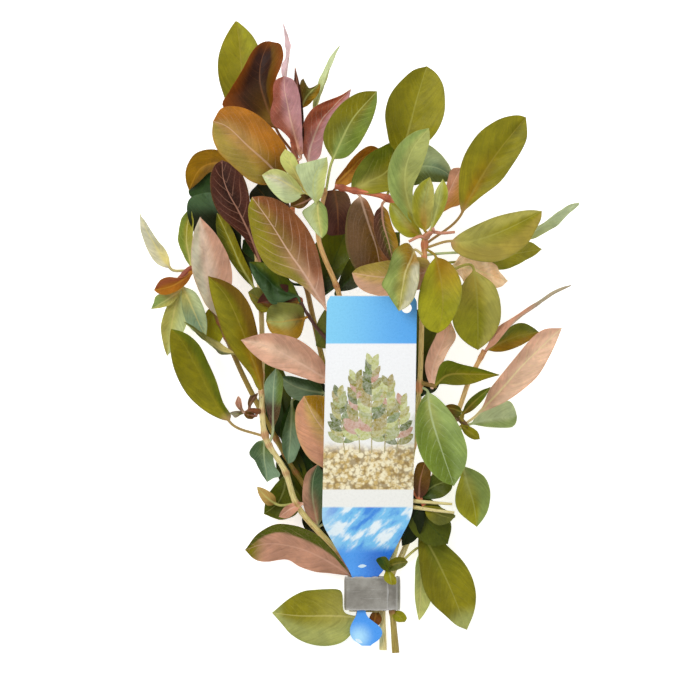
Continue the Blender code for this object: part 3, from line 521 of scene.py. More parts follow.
# Side shoots: a short twig with its young leaves, on the stem that each grows from
SHOOTS = {
    "shoot_upper_left": shoot("stem_top_left", "leaf_pink",
        ((-25.4, 76.5, 27.6), (-26.0, 84.0, 27.5), (-27.5, 92.0, 27.0)),
        drawn((-27.5, 92), 28, "lilac lilac - - - rosewhite lilac",
            "284 76 284 66 287 54 287 43 285 33 | 285 92 286 70 289 53 288 38 283 23 | 287 78 "
            "290 64 292 50 290 37 286 29", rise=2, wave=0.3),
        drawn((-25.7, 80), 25, "brown dusk brown ochre - pear dusk",
            "300 96 300 82 304 78 307 90 | 301 108 307 96 320 83 | 307 106 315 98 320 90",
            wave=0.8, crumple=0.4),
        drawn((-25.7, 78), 31, "wine maroon - - - flesh maroon",
            "299 132 297 108 294 88 | 302 152 301 122 299 96 295 67 | 304 132 303 108 300 86",
            wave=0.4, fold=20)),
    "young_on_left_stem": shoot("stem_left", "leaf_grey_green", (),
        drawn((-33.5, -39.5), 22, "maroon bluegreen - leafgreen - mist dusty",
            "268 416 265 398 265 382 | 273 430 273 402 274 382 276 368 | 279 414 282 396 283 378",
            fold=12, wave=0.6, root=(0.42, "maroon")),
        drawn((-36, -36), 12, "fern bluegreen - teal - mist sage",
            "272 450 275 464 281 474 274 477 | 264 440 264 456 266 470 267 482 | 256 442 249 453 "
            "256 460 261 472", fold=8, wave=0.5),
        drawn((-24, -62), 11, "flesh dusty - - - blush flesh",
            "300 507 294 514 288 518 | 303 504 292 508 279 517 | 298 502 290 504 283 509",
            wave=0.5, fold=14),
        drawn((-37, 12), 14.5, "moss olive bottle moss - pear tan",
            "246 281 236 269 226 254 219 241 216 226 | 254 288 241 266 231 243 217 213 | 252 275 "
            "246 262 239 246 233 231 225 219", fold=10, veins=0.7),
        drawn((-24, -62), 7, "brown tan - - - pear dusk",
            "268 506 262 500 259 494 | 276 504 267 498 257 487 | 275 496 268 491 262 488",
            fold=10)),
    "young_on_far_left_stem": shoot("stem_far_left", "leaf_dark_green", (),
        drawn((-24, -50), 8, "night forest - - - forest dusk",
            "289 454 281 439 281 423 288 407 | 296 462 296 397 | 303 454 310 439 311 423 304 407"),
        drawn((-12, -69), 12, "flesh teal dusty teal - mist flesh",
            "309 520 303 502 303 485 307 472 | 318 526 313 500 313 480 318 464 | 323 515 326 495 "
            "326 478", fold=12, cup=0.8, wave=0.6),
        drawn((-19, -58), 5, "night forest - - - forest dusk",
            "304 477 298 464 299 451 308 438 | 310 485 317 431 | 318 479 327 468 329 454 324 440"),
        drawn((-53, 6), 7, "olive lime - - - lime tan",
            "221 318 224 332 220 342 | 213 306 214 324 219 346 | 206 312 203 326 208 338", fold=8)),
    "young_on_salmon_branch": shoot("branch_salmon", "leaf_maroon", (),
        drawn((-6, 56.2), 26, "rust orange - amber ochre amber dusty",
            "335 181 343 170 353 157 364 148 372 146 | 336 184 350 170 362 158 381 150 | 345 186 "
            "357 178 368 166 377 156", fold=8, cup=0.8),
        drawn((-7, 56.3), 31, "bark maroon - maroon - cocoa dusty",
            "346 192 351 203 351 218 347 232 | 334 190 337 204 338 218 338 235 | 324 192 320 205 "
            "321 222 328 234", fold=6, veins=0.6),
        drawn((11, 52.3), 41, "wine bottle ochre maroon - dusty dusty",
            "388 212 392 226 398 242 397 254 | 382 205 383 222 389 244 393 262 | 375 214 374 230 "
            "379 246 386 257", fold=12, veins=0.7)),
    "rosette_centre": shoot("stem_centre", "leaf_grey_green",
        ((-14.0, 56.0, 39.2), (-15.5, 54.5, 42.0), (-16.0, 54.0, 44.5)),
        drawn((-15.5, 54.5), 45, "pear silver mist pear pear straw mist",
            "296 200 286 203 276 196 268 186 | 304 194 291 186 278 179 262 175 | 299 185 292 177 "
            "283 171 272 169", fold=9, cup=0.8, veins=0.7),
        drawn((-16, 54), 49, "mist mist mist pear mist pear mist",
            "307 192 301 179 296 165 306 162 | 316 203 313 187 316 173 327 157 | 323 194 326 178 "
            "328 166", fold=14, cup=0.5, veins=0.7),
        drawn((-15.5, 54.5), 42.5, "tan pear - pear sage straw mist",
            "295 180 285 170 280 159 | 304 190 296 174 290 162 285 149 | 303 178 299 166 294 155",
            fold=10),
        drawn((-15.5, 54.5), 42, "wine brown - - - dusty sage",
            "303 208 297 208 293 206 | 312 198 302 203 290 207 | 304 194 297 197 292 201",
            wave=0.5),
        drawn((-16, 54), 44, "sage pear fresh mist fern straw mist",
            "326 208 328 221 327 232 | 318 199 318 214 322 238 | 310 206 302 212 308 222 316 233",
            fold=10, veins=0.7)),
    "rosette_right": shoot("stem_middle_right", "leaf_grey_green",
        ((25.4, 38.5, 38.2), (27.0, 40.0, 41.0), (27.5, 41.0, 44.0)),
        drawn((26, 40), 49, "amber sage lime hay sage khaki sage",
            "415 222 412 207 414 192 421 182 | 425 231 424 206 430 177 | 431 224 434 205 434 188",
            fold=10, veins=0.7),
        drawn((26.5, 41), 46, "hay sage pear lime sage pear sage",
            "431 222 432 205 436 190 | 431 230 438 205 443 179 | 437 222 444 210 448 196 447 186",
            fold=10, veins=0.7),
        drawn((25, 38.5), 26, "orange dusty - amber dusty blush dusty",
            "441 201 446 186 450 171 456 168 | 440 214 450 190 461 168 | 451 208 461 204 464 186",
            fold=6),
        drawn((25, 38.5), 38, "ochre sage lime olive sage khaki sage",
            "407 237 395 228 390 216 389 207 | 420 236 408 225 399 214 390 203 | 418 226 409 212 "
            "399 204", fold=12, cup=0.8, veins=0.7)),
    "shoot_far_left": shoot("stem_far_left", "leaf_grey_green",
        ((-62.3, 27.0, 12.6), (-65.0, 25.5, 13.4), (-68.0, 22.5, 14.0)),
        drawn((-65, 25.5), 9, "straw silver silver - silver straw mist",
            "163 267 155 262 148 251 143 238 139 225 | 170 268 159 251 148 233 139 214 | 169 258 "
            "165 249 158 241 152 232 145 221", fold=10, veins=0.5, stalk="maroon"),
        drawn((-66, 25), 17, "rust orange - brick ochre amber flesh",
            "186 284 175 292 165 295 157 293 | 193 272 176 284 165 288 154 290 | 181 278 168 277 "
            "160 280 156 286", fold=8, cup=0.8),
        drawn((-68, 22.5), 10, "tan fresh hay - sage straw tan",
            "173 303 163 307 | 181 290 168 299 151 309 | 166 292 157 295 154 302", fold=8),
        drawn((-68, 22.5), 2.0, "hay pear mist hay sage straw mist",
            "185 300 188 317 183 332 175 346 | 180 290 174 312 170 334 167 356 | 172 297 165 310 "
            "161 326 163 343", fold=6, veins=0.7),
        drawn((-66, 24), 13, "hay bluegreen mist - bluegreen straw mist",
            "195 292 203 306 207 322 | 182 286 191 305 198 321 206 338 | 181 300 184 316 191 329",
            fold=8, veins=0.7),
        drawn((-63.5, 26), 12, "sage olive leafgreen - sage straw mist",
            "187 260 181 246 180 232 183 219 | 192 268 188 250 187 230 191 207 | 195 256 195 238 "
            "195 222", fold=12, rise=2)),
    "shoot_middle_left": shoot("stem_centre", "leaf_dark_green",
        ((-10.0, -2.0, 21.0), (-16.0, 4.0, 21.5), (-22.3, 13.5, 23.0)),
        drawn((-22.3, 13.5), 24, "forest forest teal fern - teal dusk",
            "288 300 272 304 263 292 254 278 | 297 296 279 290 265 277 249 262 | 294 286 284 276 "
            "273 266 260 262", fold=12, wave=0.9, cup=1.0, crumple=0.7),
        drawn((-21.5, 12), 21, "wine maroon brown - - brick wine",
            "295 306 282 311 270 308 261 303 | 300 298 286 300 272 301 257 303 | 294 288 282 284 "
            "271 288 262 295", wave=0.9, fold=8),
        drawn((-19, 9), 24, "brown sage ochre dusk - amber sage",
            "301 334 292 341 280 339 270 331 | 305 318 292 320 280 322 266 321 | 301 306 290 303 "
            "276 303 268 309", fold=8, wave=0.6, crumple=0.4),
        drawn((-24, 14), 16, "brown dusk olive - - ochre dusk",
            "268 312 258 310 | 274 302 262 300 248 292 | 267 293 257 287", wave=0.6)),
    "shoot_behind_label": shoot("stem_centre", "leaf_dark_green",
        ((-7.5, -27.5, 14.0), (-12.0, -25.0, 13.0), (-17.0, -23.5, 12.5)),
        drawn((-15, -24), 13, "teal bluegreen - forest - mist sage",
            "314 402 300 401 288 394 | 324 393 306 390 292 385 280 377 | 318 382 304 379 290 376",
            fold=10, cup=0.8),
        drawn((-17, -23.5), 12, "fern bluegreen - teal teal mist sage",
            "299 426 302 440 298 452 294 461 | 292 402 291 425 290 443 288 464 | 285 424 282 438 "
            "283 452", fold=8, veins=0.6)),
    "shoot_right_upper": shoot("stem_middle_right", "leaf_pink",
        ((24.6, -17.0, 23.6), (27.0, -17.5, 24.0), (29.0, -18.0, 24.0)),
        drawn((27, -17.5), 22.5, "pink pink - blush pink blush pink",
            "428 380 425 367 428 353 434 340 440 329 | 432 389 433 368 440 349 451 322 | 437 384 "
            "442 365 449 350 456 337", fold=9, veins=0.5),
        drawn((29, -18), 28, "bottle moss fern - dusk khaki sage",
            "440 366 448 360 462 364 482 369 | 434 387 448 375 470 374 500 375 | 441 384 456 385 "
            "471 384 486 379", fold=8)),
    "shoot_right_lower": shoot("stem_right", "leaf_olive",
        ((37.8, -30.5, 19.5), (39.5, -32.0, 21.0), (41.0, -33.5, 21.5)),
        drawn((39.5, -32), 26, "brown fern bottle - dusk khaki sage",
            "468 401 480 391 | 461 416 472 404 491 387 | 473 410 484 399", fold=10),
        drawn((41, -33.5), 20, "olive olive - moss dusk khaki sage",
            "469 426 477 431 | 461 425 470 432 480 439 | 464 433 472 439", fold=6),
        drawn((39, -30.5), 17, "bottle brown - - - khaki sage",
            "457 418 449 412 | 462 412 454 409 444 407 | 459 406 451 404", fold=8)),
    "shoot_low_right": shoot("stem_middle_right", "leaf_dark_green",
        ((20.2, -58.0, 12.5), (22.5, -60.0, 13.5), (24.5, -63.0, 14.0)),
        drawn((22.5, -60), 16, "forest bottle - - - sage dusk",
            "424 486 431 476 443 472 | 420 497 434 486 452 480 | 430 499 443 497 452 489", fold=8),
        drawn((22.5, -60), 17, "maroon brown - - - flesh maroon",
            "414 488 414 474 418 463 | 419 500 420 482 425 462 | 428 490 431 474 430 465",
            fold=12),
        drawn((24.5, -63), 14, "olive dusk - - - hay sage",
            "439 507 450 512 456 516 | 424 506 438 514 453 519 | 428 518 438 525 448 523", fold=8),
        drawn((24.5, -63), 7, "night night - - - forest dusk",
            "425 516 422 530 414 541 | 422 502 412 522 402 546 | 408 512 402 528", fold=8),
        drawn((17.5, -60), 9.5, "night bottle - - - forest dusk",
            "420 494 440 506 451 524 | 403 496 448 544 | 404 514 414 534 430 545", fold=8)),
    "young_on_centre_stem": shoot("stem_centre", "leaf_dark_green", (),
        drawn((-9, 20), 18, "night fern - - - forest dusk",
            "306 278 312 250 328 232 | 322 294 347 226 | 334 286 348 262 354 242", fold=10),
        drawn((-7.6, 14), 20, "night bottle - - - forest dusk",
            "343 270 358 248 380 234 | 336 292 400 232 | 356 288 382 270 398 250", fold=10),
        drawn((-7.2, 8), 16, "night bottle - - - forest dusk",
            "331 303 321 314 314 330 | 342 312 316 346 | 342 334 334 344 325 350", fold=10)),
    "young_on_top_left_stem": shoot("stem_top_left", "leaf_dark_green", (),
        drawn((-20, 20), 8, "night forest - - - forest dusk",
            "272 282 252 268 243 254 | 290 282 243 240 | 282 262 262 245 250 238", fold=10),
        drawn((-24, 40), 12, "maroon night - - - brown dusk",
            "272 224 256 210 250 196 | 290 225 256 186 | 290 205 276 188 262 182", fold=10),
        drawn((6.3, -102.8), 4.4, "brown rust - - - amber brown",
            "380 614 382 620 378 626 | 377 609 373 628 | 371 614 369 621", arch=0, fold=10,
            cup=0.1, wave=0.1)),
    "young_low_on_far_left_stem": shoot("stem_far_left", "leaf_dark_green", (),
        drawn((-5, -80), 1.6, "night night - - - forest dusk",
            "322 546 308 534 302 520 | 335 548 306 512 | 340 532 330 518 318 508", cup=0.3),
        drawn((-28, -44), 3, "night bottle - - - forest dusk",
            "297 450 306 470 308 492 | 284 452 301 506 | 276 462 280 482 290 500"),
        drawn((-31.5, -38), 4.5, "night forest - - - forest dusk",
            "266 430 258 410 260 395 | 276 440 268 383 | 284 425 282 405 276 390")),
    "young_beside_label": shoot("stem_middle_right", "leaf_dark_green", (),
        drawn((22.8, -19), 15, "night bottle - - - forest dusk",
            "413 390 409 350 412 318 | 422 396 424 304 | 438 388 444 350 436 316", fold=10)),
    "young_at_cut_end": shoot("stem_right", "leaf_olive", (),
        drawn((13.2, -103.2), 6.4, "olive lime - - - khaki sage",
            "399 611 404 613 407 618 | 394 612 405 622 | 393 617 397 622", fold=10, cup=0.4)),
    "dried_sprout": shoot("stem_left", "leaf_rust",
        ((-38.2, -27.4, 20.6), (-40.6, -27.2, 21.2), (-43.0, -28.2, 21.4)),
        drawn((-42, -27.8), 23, "brown dusty - - - blush dusty",
            "238 408 235 403 237 399 | 243 412 239 404 238 396 | 242 407 241 399", fold=24,
            crumple=0.5),
        drawn((-40.6, -27.2), 22, "brown bark - - - dusty ash",
            "248 402 250 396 254 395 | 249 409 252 400 258 393 | 252 404 256 399", fold=24,
            crumple=0.5),
        drawn((-43, -28.2), 20, "brown ash - - - sage ash",
            "240 415 236 418 233 415 | 244 412 238 414 230 413 | 240 411 235 411", fold=24,
            crumple=0.5),
        drawn((-38.6, -27.4), 21, "maroon brown - - - dusty ash",
            "251 419 248 419 | 256 416 250 415 244 414 | 251 412 247 411", fold=20, crumple=0.5)),
    "branch_of_rosette_right": shoot("stem_middle_right", "leaf_pink",
        ((24.8, 38.4, 40.0), (27.0, 39.8, 42.0), (31.0, 39.4, 41.4), (35.6, 39.8, 40.0))),
    "branch_of_rosette_left": shoot("stem_middle_right", "leaf_pink",
        ((24.2, 38.0, 40.0), (22.0, 38.0, 41.6), (18.4, 36.2, 42.0))),
    "root_upper": shoot("stem_middle_right", "leaf_pink",
        ((19.5, -61.2, 13.0), (26.0, -61.7, 16.5), (35.0, -62.4, 17.5))),
    "root_lower": shoot("stem_middle_right", "leaf_pink",
        ((20.5, -63.6, 13.0), (27.0, -64.6, 16.5), (35.8, -65.6, 17.5))),
    "sprout_at_strip": shoot(None, "leaf_olive",
        ((10.6, -89.0, 10.2), (10.8, -87.0, 12.0), (10.8, -85.0, 13.0)),
        drawn((10.8, -86), 14, "bottle dusk moss - - khaki olive",
            "391 560 398 557 404 558 | 387 568 395 564 408 562 | 393 571 400 569 405 566", fold=8),
        drawn((10.8, -85), 15, "fern forest - bottle - fern sage",
            "384 570 379 565 376 560 | 388 571 384 563 381 557 | 390 566 389 561 386 557", fold=8),
        drawn((10.8, -87), 12.5, "lime olive - lime - pear lime",
            "396 578 396 584 | 388 569 390 576 392 585 | 385 573 384 580", fold=6)),
}


def linear(name):
    """A named colour in scene-linear red, green and blue."""
    part = np.array(PALETTE[name]) / 255
    return np.where(part <= 0.04045, part / 12.92, ((part + 0.055) / 1.055) ** 2.4)


def unit(vector):
    vector = np.asarray(vector, float)
    return vector / np.linalg.norm(vector, axis=-1, keepdims=True)


def ease(low, high, value):
    """A smooth step from 0 at low to 1 at high, which may be the lower of the two."""
    share = np.clip((value - low) / (high - low), 0, 1)
    return share * share * (3 - 2 * share)


def blend(first, second, share):
    return first + (second - first) * np.asarray(share)[..., None]


def runs(path):
    """The distance along a path at each of its points."""
    return np.concatenate([[0], np.cumsum(np.linalg.norm(np.diff(path, axis=0), axis=1))])


def smooth_path(points, step):
    """Points about one step apart on a Catmull-Rom curve through the route's own points."""
    p = [np.array(q, float) for q in points]
    p = [2 * p[0] - p[1], *p, 2 * p[-1] - p[-2]]
    path = []
    for i in range(1, len(p) - 2):
        count = max(1, round(np.linalg.norm(p[i + 1] - p[i]) / step))
        for k in range(count):
            t = k / count
            path.append(0.5 * (
                2 * p[i] + (p[i + 1] - p[i - 1]) * t
                + (2 * p[i - 1] - 5 * p[i] + 4 * p[i + 1] - p[i + 2]) * t ** 2
                + (3 * p[i] - p[i - 1] - 3 * p[i + 1] + p[i + 2]) * t ** 3
            ))
    return np.array([*path, p[-2]])


def nearest_on(path, foot):
    """The point of a path nearest in plan to a foot, the direction there, and its index."""
    k = int(np.argmin(np.linalg.norm(path[:, :2] - np.array(foot), axis=1)))
    along = path[min(k + 1, len(path) - 1)] - path[max(k - 1, 0)]
    return path[k], unit(along), k


def foot_of(spec, path):
    """Where the petiole starts, just off the middle of the stem on the leaf's side."""
    point, along, _ = nearest_on(path, spec["foot"])
    out = in_plan(spec["edges"][1][-1], spec["height"]) - point
    out -= along * out.dot(along)
    return point + unit(out) * FOOT_CLEARANCE


def placed(name, data):
    """A new object in the scene."""
    obj = bpy.data.objects.new(name, data)
    bpy.context.scene.collection.objects.link(obj)
    return obj


def ride(obj, nodes=()):
    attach(obj, "root")
    if nodes:
        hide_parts(*nodes)
    return obj


class Batch:
    """Points, faces and surface facts of one piece, gathered from several shapes."""

    def __init__(self):
        self.points, self.faces, self.count = [], [], 0
        self.facts = {name: [] for name in FACTS}

    def add(self, points, faces, **facts):
        points = np.asarray(points, float).reshape(-1, 3)
        self.points.append(np.clip(points, BOX_LOW + EDGE_MARGIN, BOX_HIGH - EDGE_MARGIN))
        self.faces.extend([tuple(i + self.count for i in face) for face in faces])
        n = len(points)
        for name, rows in self.facts.items():
            value = np.asarray(facts.get(name, 0.0), float)
            rows.append(np.broadcast_to(value, (n, FACTS[name][0])) if value.ndim < 2 else value)
        self.count += n

    def piece(self, name, materials, nodes=()):
        """The gathered shapes as one piece that rides on the bunch."""
        mesh = bpy.data.meshes.new(name)
        points = np.concatenate(self.points) * MM
        mesh.from_pydata(points.tolist(), [], self.faces)
        for material in materials:
            mesh.materials.append(material)
        for key, (_, kind, value) in FACTS.items():
            rows = np.concatenate(self.facts[key])
            if value == "color":
                layer = mesh.color_attributes.new(key, kind, "POINT")
                rows = np.concatenate([rows, np.ones((len(rows), 1))], axis=1)
            else:
                layer = mesh.attributes.new(key, kind, "POINT")
            layer.data.foreach_set(value, rows.astype(np.float32).ravel())
        mesh.polygons.foreach_set("use_smooth", [True] * len(mesh.polygons))
        mesh.update()
        mesh.set_sharp_from_angle(angle=SHARP_ANGLE)
        return ride(placed(name, mesh), nodes)


def grid_faces(rows, columns, first=0, flip=False):
    faces = []
    for i in range(rows - 1):
        for j in range(columns - 1):
            a = first + i * columns + j
            face = (a, a + 1, a + columns + 1, a + columns)
            faces.append(face[::-1] if flip else face)
    return faces


def shell_faces(rows, columns):
    """Faces of a closed sheet whose top grid comes before its bottom grid."""
    size = rows * columns
    faces = grid_faces(rows, columns) + grid_faces(rows, columns, size, True)
    ring = list(range(columns))
    ring += [i * columns + columns - 1 for i in range(1, rows)]
    ring += [(rows - 1) * columns + j for j in range(columns - 2, -1, -1)]
    ring += [i * columns for i in range(rows - 2, 0, -1)]
    for a, b in zip(ring, ring[1:] + ring[:1]):
        faces.append((b, a, a + size, b + size))
    return faces


def in_plan(pixels, height):
    """Where the camera's ray through a pixel meets a height, in millimetres."""
    scale = PIXEL * (CAMERA[2] - np.asarray(height, float)) / (CAMERA[2] - PIXEL_HEIGHT)
    x = CAMERA[0] + (pixels[..., 0] - PICTURE / 2) * scale
    y = CAMERA[1] - (pixels[..., 1] - PICTURE / 2) * scale
    return np.stack([x, y, np.broadcast_to(height, x.shape)], axis=-1)


def evenly(points, count):
    """Points at even distances along a smooth curve through the given ones."""
    path = smooth_path([(x, y, 0.0) for x, y in points], OUTLINE_STEP)[:, :2]
    run = runs(path)
    share = np.linspace(0, run[-1], count)
    return np.stack([np.interp(share, run, path[:, k]) for k in (0, 1)], axis=-1)


def petiole(foot, base, heading, count):
    """A curve from the stem that arrives at the blade along its midrib."""
    reach = base - foot
    end = unit(heading) * np.linalg.norm(reach)
    s = np.linspace(0, 1, count, endpoint=False)[:, None]
    return (
        (2 * s ** 3 - 3 * s ** 2 + 1) * foot + (s ** 3 - 2 * s ** 2 + s) * reach
        + (3 * s ** 2 - 2 * s ** 3) * base + (s ** 3 - s ** 2) * end
    )


def leaf_rows(spec, foot):
    """Midrib, the way to each edge, and the share of the blade, row by row from the stem on."""
    left, middle, right = spec["edges"]
    base = in_plan(middle[0], foot[2])
    tip = in_plan(middle[-1], spec["height"])
    stalk = np.linalg.norm(base[:2] - foot[:2])
    length = np.linalg.norm(tip - base)
    start = foot[2] + (spec["height"] - foot[2]) * stalk / (stalk + length)
    rows = max(LEAST_ROWS, int(length / LEAF_ROW_STEP))
    t = np.linspace(0, 1, rows)
    height = start + (spec["height"] - start) * t + spec["arch"] * 4 * t * (1 - t)
    rib = in_plan(evenly(middle, rows), height)
    sides = [in_plan(evenly(np.concatenate([middle[:1], edge, middle[-1:]]), rows), height) - rib
             for edge in (left, right)]
    count = max(2, int(stalk / LEAF_ROW_STEP))
    rib = np.concatenate([petiole(foot, rib[0], rib[2] - rib[0], count), rib])
    sides = [np.concatenate([np.zeros((count, 3)), side]) for side in sides]
    return rib, sides, np.concatenate([np.zeros(count), t])


def leaf_middle(spec, foot, rnd):
    """The middle of the leaf's thickness on a grid, with each point's share and reach."""
    rib, sides, t = leaf_rows(spec, foot)
    ahead = unit(np.gradient(rib, axis=0))
    aside = unit(np.cross((0, 0, 1), ahead))
    least = (PETIOLE_HALF + (TIP_HALF - PETIOLE_HALF) * t)[:, None]
    swell = np.sin(np.pi * t) ** 0.75
    for side, turn in zip(sides, (1, -1)):
        short = np.maximum(0, least - np.linalg.norm(side, axis=1, keepdims=True))
        side += turn * aside * short
        side[:, 2] -= turn * spec["rise"] * swell
    width = np.linalg.norm(sides[0] - sides[1], axis=1).max()
    columns = max(LEAST_COLUMNS, int(width / LEAF_COLUMN_STEP) // 2 * 2 + 1)
    v = np.linspace(-1, 1, columns)[None, :]
    t, swell = np.broadcast_to(t[:, None], (len(t), columns)), swell[:, None]
    way = np.where(v[..., None] < 0, sides[0][:, None], sides[1][:, None])
    half = np.linalg.norm(way, axis=2)
    face = unit(np.cross(sides[1] - sides[0], ahead))[:, None]
    lift = math.tan(math.radians(spec["fold"])) * np.abs(v) * half
    lift = lift + spec["cup"] * v ** 2 * swell
    phase = np.where(v > 0, rnd.uniform(0, 6.28), rnd.uniform(0, 6.28))
    turns = rnd.uniform(1.6, 2.6)
    lift = lift + spec["wave"] * v ** 2 * swell * np.sin(6.28 * turns * t + phase)
    fine = FINE_WAVE * spec["wave"]
    lift = lift + fine * np.abs(v) ** 3 * swell * np.sin(17 * turns * t + phase)
    bend = rnd.uniform(0, 6.28)
    dents = np.sin(9 * t + 2.4 * v + bend) + 0.7 * np.sin(19 * t - 5 * v + 2 * bend)
    depth = LEAST_DENTS + spec["crumple"]
    lift = lift + depth * dents * swell * np.minimum(1, half / DENT_REACH)
    point = rib[:, None] + way * np.abs(v)[..., None] + face * lift[..., None]
    point = np.clip(point, BOX_LOW + BOX_MARGIN, BOX_HIGH - BOX_MARGIN)
    return point, v * half, t, v + 0 * t, swell


def leaf_tints(spec, t, v, length, width, top):
    """Colour of the blade and of its veins at each point."""
    foot, tip, left, right, rim, vein, under = spec["look"]
    tint = blend(linear(foot), linear(tip), ease(0.0, 0.7, t))
    for name, towards in ((left, -v), (right, v)):
        if name != "-":
            tint = blend(tint, linear(name), SIDE_TINT * ease(0.05, 0.6, towards))
    if spec["root"] and top:
        end, name = spec["root"]
        share = ease(end + SOFT_SHARE, end - SOFT_SHARE, t)
        tint = blend(tint, linear(name), SIDE_TINT * share)
    if spec["cap"]:
        start, name = spec["cap"]
        tint = blend(tint, linear(name), ease(start - SOFT_SHARE, start + SOFT_SHARE, t))
    if spec["band"]:
        start, name = spec["band"]
        start = start + 0.06 * np.sin(11 * t)
        tint = blend(tint, linear(name), ease(start - 0.05, start + 0.05, v))
    if not top:
        tint = blend(linear(under) * 0.8 + tint * 0.2, tint, 0.15 * t)
    if rim != "-":
        edge = ease(1 - spec["rim"] * 2, 1.0, np.abs(v))
        end = ease(1 - spec["rim"] * 2, 1.0, 1 - (1 - t) * 2 * length / width)
        tint = blend(tint, linear(rim), np.maximum(spec["hem"] * edge, spec["tip_rim"] * end))
    veins = np.broadcast_to(linear(vein), tint.shape)
    stalk = 1 - ease(-0.02, 0.12, t)
    return blend(tint, linear(spec["stalk"] or vein), 0.6 * stalk), veins


def add_leaf(batch, spec, foot, seed):
    """A blade with its petiole: two close surfaces with a groove, veins and quilting."""
    rnd = random.Random(seed)
    middle, across, t, v, swell = leaf_middle(spec, foot, rnd)
    rows, columns = t.shape
    du = np.gradient(middle, axis=0)
    dv = np.gradient(middle, axis=1)
    normal = unit(np.cross(dv, du) + 1e-12)
    run = runs(middle[:, columns // 2])
    length = run[-1] - run[np.argmax(t[:, 0] > 0)]
    width = max(np.ptp(across, axis=1).max(), 2.0)
    blade = ease(-0.03, 0.14, t)
    spacing = max(2.0, length / SIDE_VEINS)
    reach = np.abs(across)
    wander = 0.18 * np.sin(7 * t + rnd.uniform(0, 6)) + 0.1 * np.sin(23 * t + rnd.uniform(0, 6))
    offset = np.where(v > 0, 0.5, 0.0) + wander
    phase = (run[:, None] - 0.7 * reach - 1.9 * reach ** 2 / width) / spacing + offset
    near = np.abs(phase - np.round(phase))
    faint = 0.55 + 0.45 * np.sin(3.1 * phase + 2.0 * v)
    furrow = np.exp(-(near / 0.15) ** 2) * blade * ease(0.4, 1.2, reach) * faint
    furrow = furrow * (1 - ease(0.7, 1.0, np.abs(v)))
    pillow = (0.5 - 0.5 * np.cos(2 * np.pi * phase)) * swell * (1 - v ** 4)
    groove = np.exp(-(reach / 0.4) ** 2) * (1 - 0.8 * t)
    rounded = np.sqrt(np.clip(1 - v ** 2, 0, 1))
    thick = LEAF_HALF_THICK * (1 - np.abs(v) ** 6) + RIM_HALF_THICK * np.abs(v) ** 6
    strength = spec["veins"]
    top = thick + strength * (PILLOW[0] * pillow - FURROW[0] * furrow) - GROOVE[0] * groove * blade
    low = thick + strength * (FURROW[1] * furrow - PILLOW[1] * pillow) + GROOVE[1] * groove * blade
    stalk = PETIOLE_HALF * rounded + PETIOLE_RIM
    top = stalk + (top - stalk) * blade
    low = np.maximum(stalk + (low - stalk) * blade, RIM_HALF_THICK)
    points, facts = [], {key: [] for key in FACTS}
    for side, lift in ((1, top), (-1, low)):
        points.append((middle + normal * (side * lift)[..., None]).reshape(-1, 3))
        tint, veins = leaf_tints(spec, t, v, length, width, side > 0)
        facts["tint"].append(tint.reshape(-1, 3))
        facts["vein_tint"].append(veins.reshape(-1, 3))
        facts["leaf"].append(np.stack([t, v, phase], axis=-1).reshape(-1, 3))
        facts["rib"].append(across.reshape(-1, 1))
        facts["under"].append(np.full((rows * columns, 1), float(side < 0)))
    facts = {key: np.concatenate(parts) for key, parts in facts.items()}
    points = np.concatenate(points)
    points[:, 2] = np.maximum(points[:, 2], LEAST_HEIGHT)
    batch.add(points, shell_faces(rows, columns), **facts)


def add_tube(batch, path, radii, colours, sides):
    """A closed round stem along a path, with slightly raised ribs and flat ends."""
    path = np.asarray(path, float)
    count = len(path)
    ahead = unit(np.gradient(path, axis=0))
    side = unit(np.cross(ahead[0], (0.13, 0.2, 1.0)))
    frames = []
    for direction in ahead:
        side = unit(side - direction * side.dot(direction))
        frames.append((side, np.cross(direction, side)))
    angle = np.linspace(0, 2 * np.pi, sides, endpoint=False)
    swell = 1 + RIB_SWELL * np.cos(4 * angle)
    rings = [
        point + radius * swell[:, None] * (np.cos(angle)[:, None] * a + np.sin(angle)[:, None] * b)
        for point, radius, (a, b) in zip(path, radii, frames)
    ]
    points = [path[0], *np.concatenate(rings), path[-1]]
    faces = []
    for k in range(count - 1):
        for j in range(sides):
            a = 1 + k * sides + j
            b = 1 + k * sides + (j + 1) % sides
            faces.append((a, b, b + sides, a + sides))
    last = 1 + (count - 1) * sides
    for j in range(sides):
        faces.append((0, 1 + (j + 1) % sides, 1 + j))
        faces.append((last + j, last + (j + 1) % sides, last + sides))
    distance = runs(path)
    along = np.concatenate([[distance[0]], np.repeat(distance, sides), [distance[-1]]])
    around = np.concatenate([[0], np.tile(np.arange(sides) / sides, count), [0]])
    tint = np.concatenate([colours[:1], np.repeat(colours, sides, axis=0), colours[-1:]])
    facts = np.stack([along, around, around * 0], axis=-1)
    batch.add(points, faces, tint=tint, vein_tint=tint, leaf=facts)


def stem_profile(path, names, radius, marks, taper):
    """Radius and colour along a stem, swollen and redder where leaves sit on it."""
    share = np.linspace(0, 1, len(path))
    distance = runs(path)
    radii = radius * (1 - taper * share) * (1 + CUT_SWELL * np.exp(-(distance / CUT_REACH) ** 2))
    low, middle, high, node = (linear(n) for n in names)
    colours = blend(blend(low, middle, ease(0, 0.5, share)), high, ease(0.5, 1, share))
    for k in marks:
        near = np.exp(-((distance - distance[k]) / NODE_REACH) ** 2)
        radii = radii * (1 + NODE_SWELL * near)
        colours = blend(colours, node, 0.6 * near)
    return radii, colours


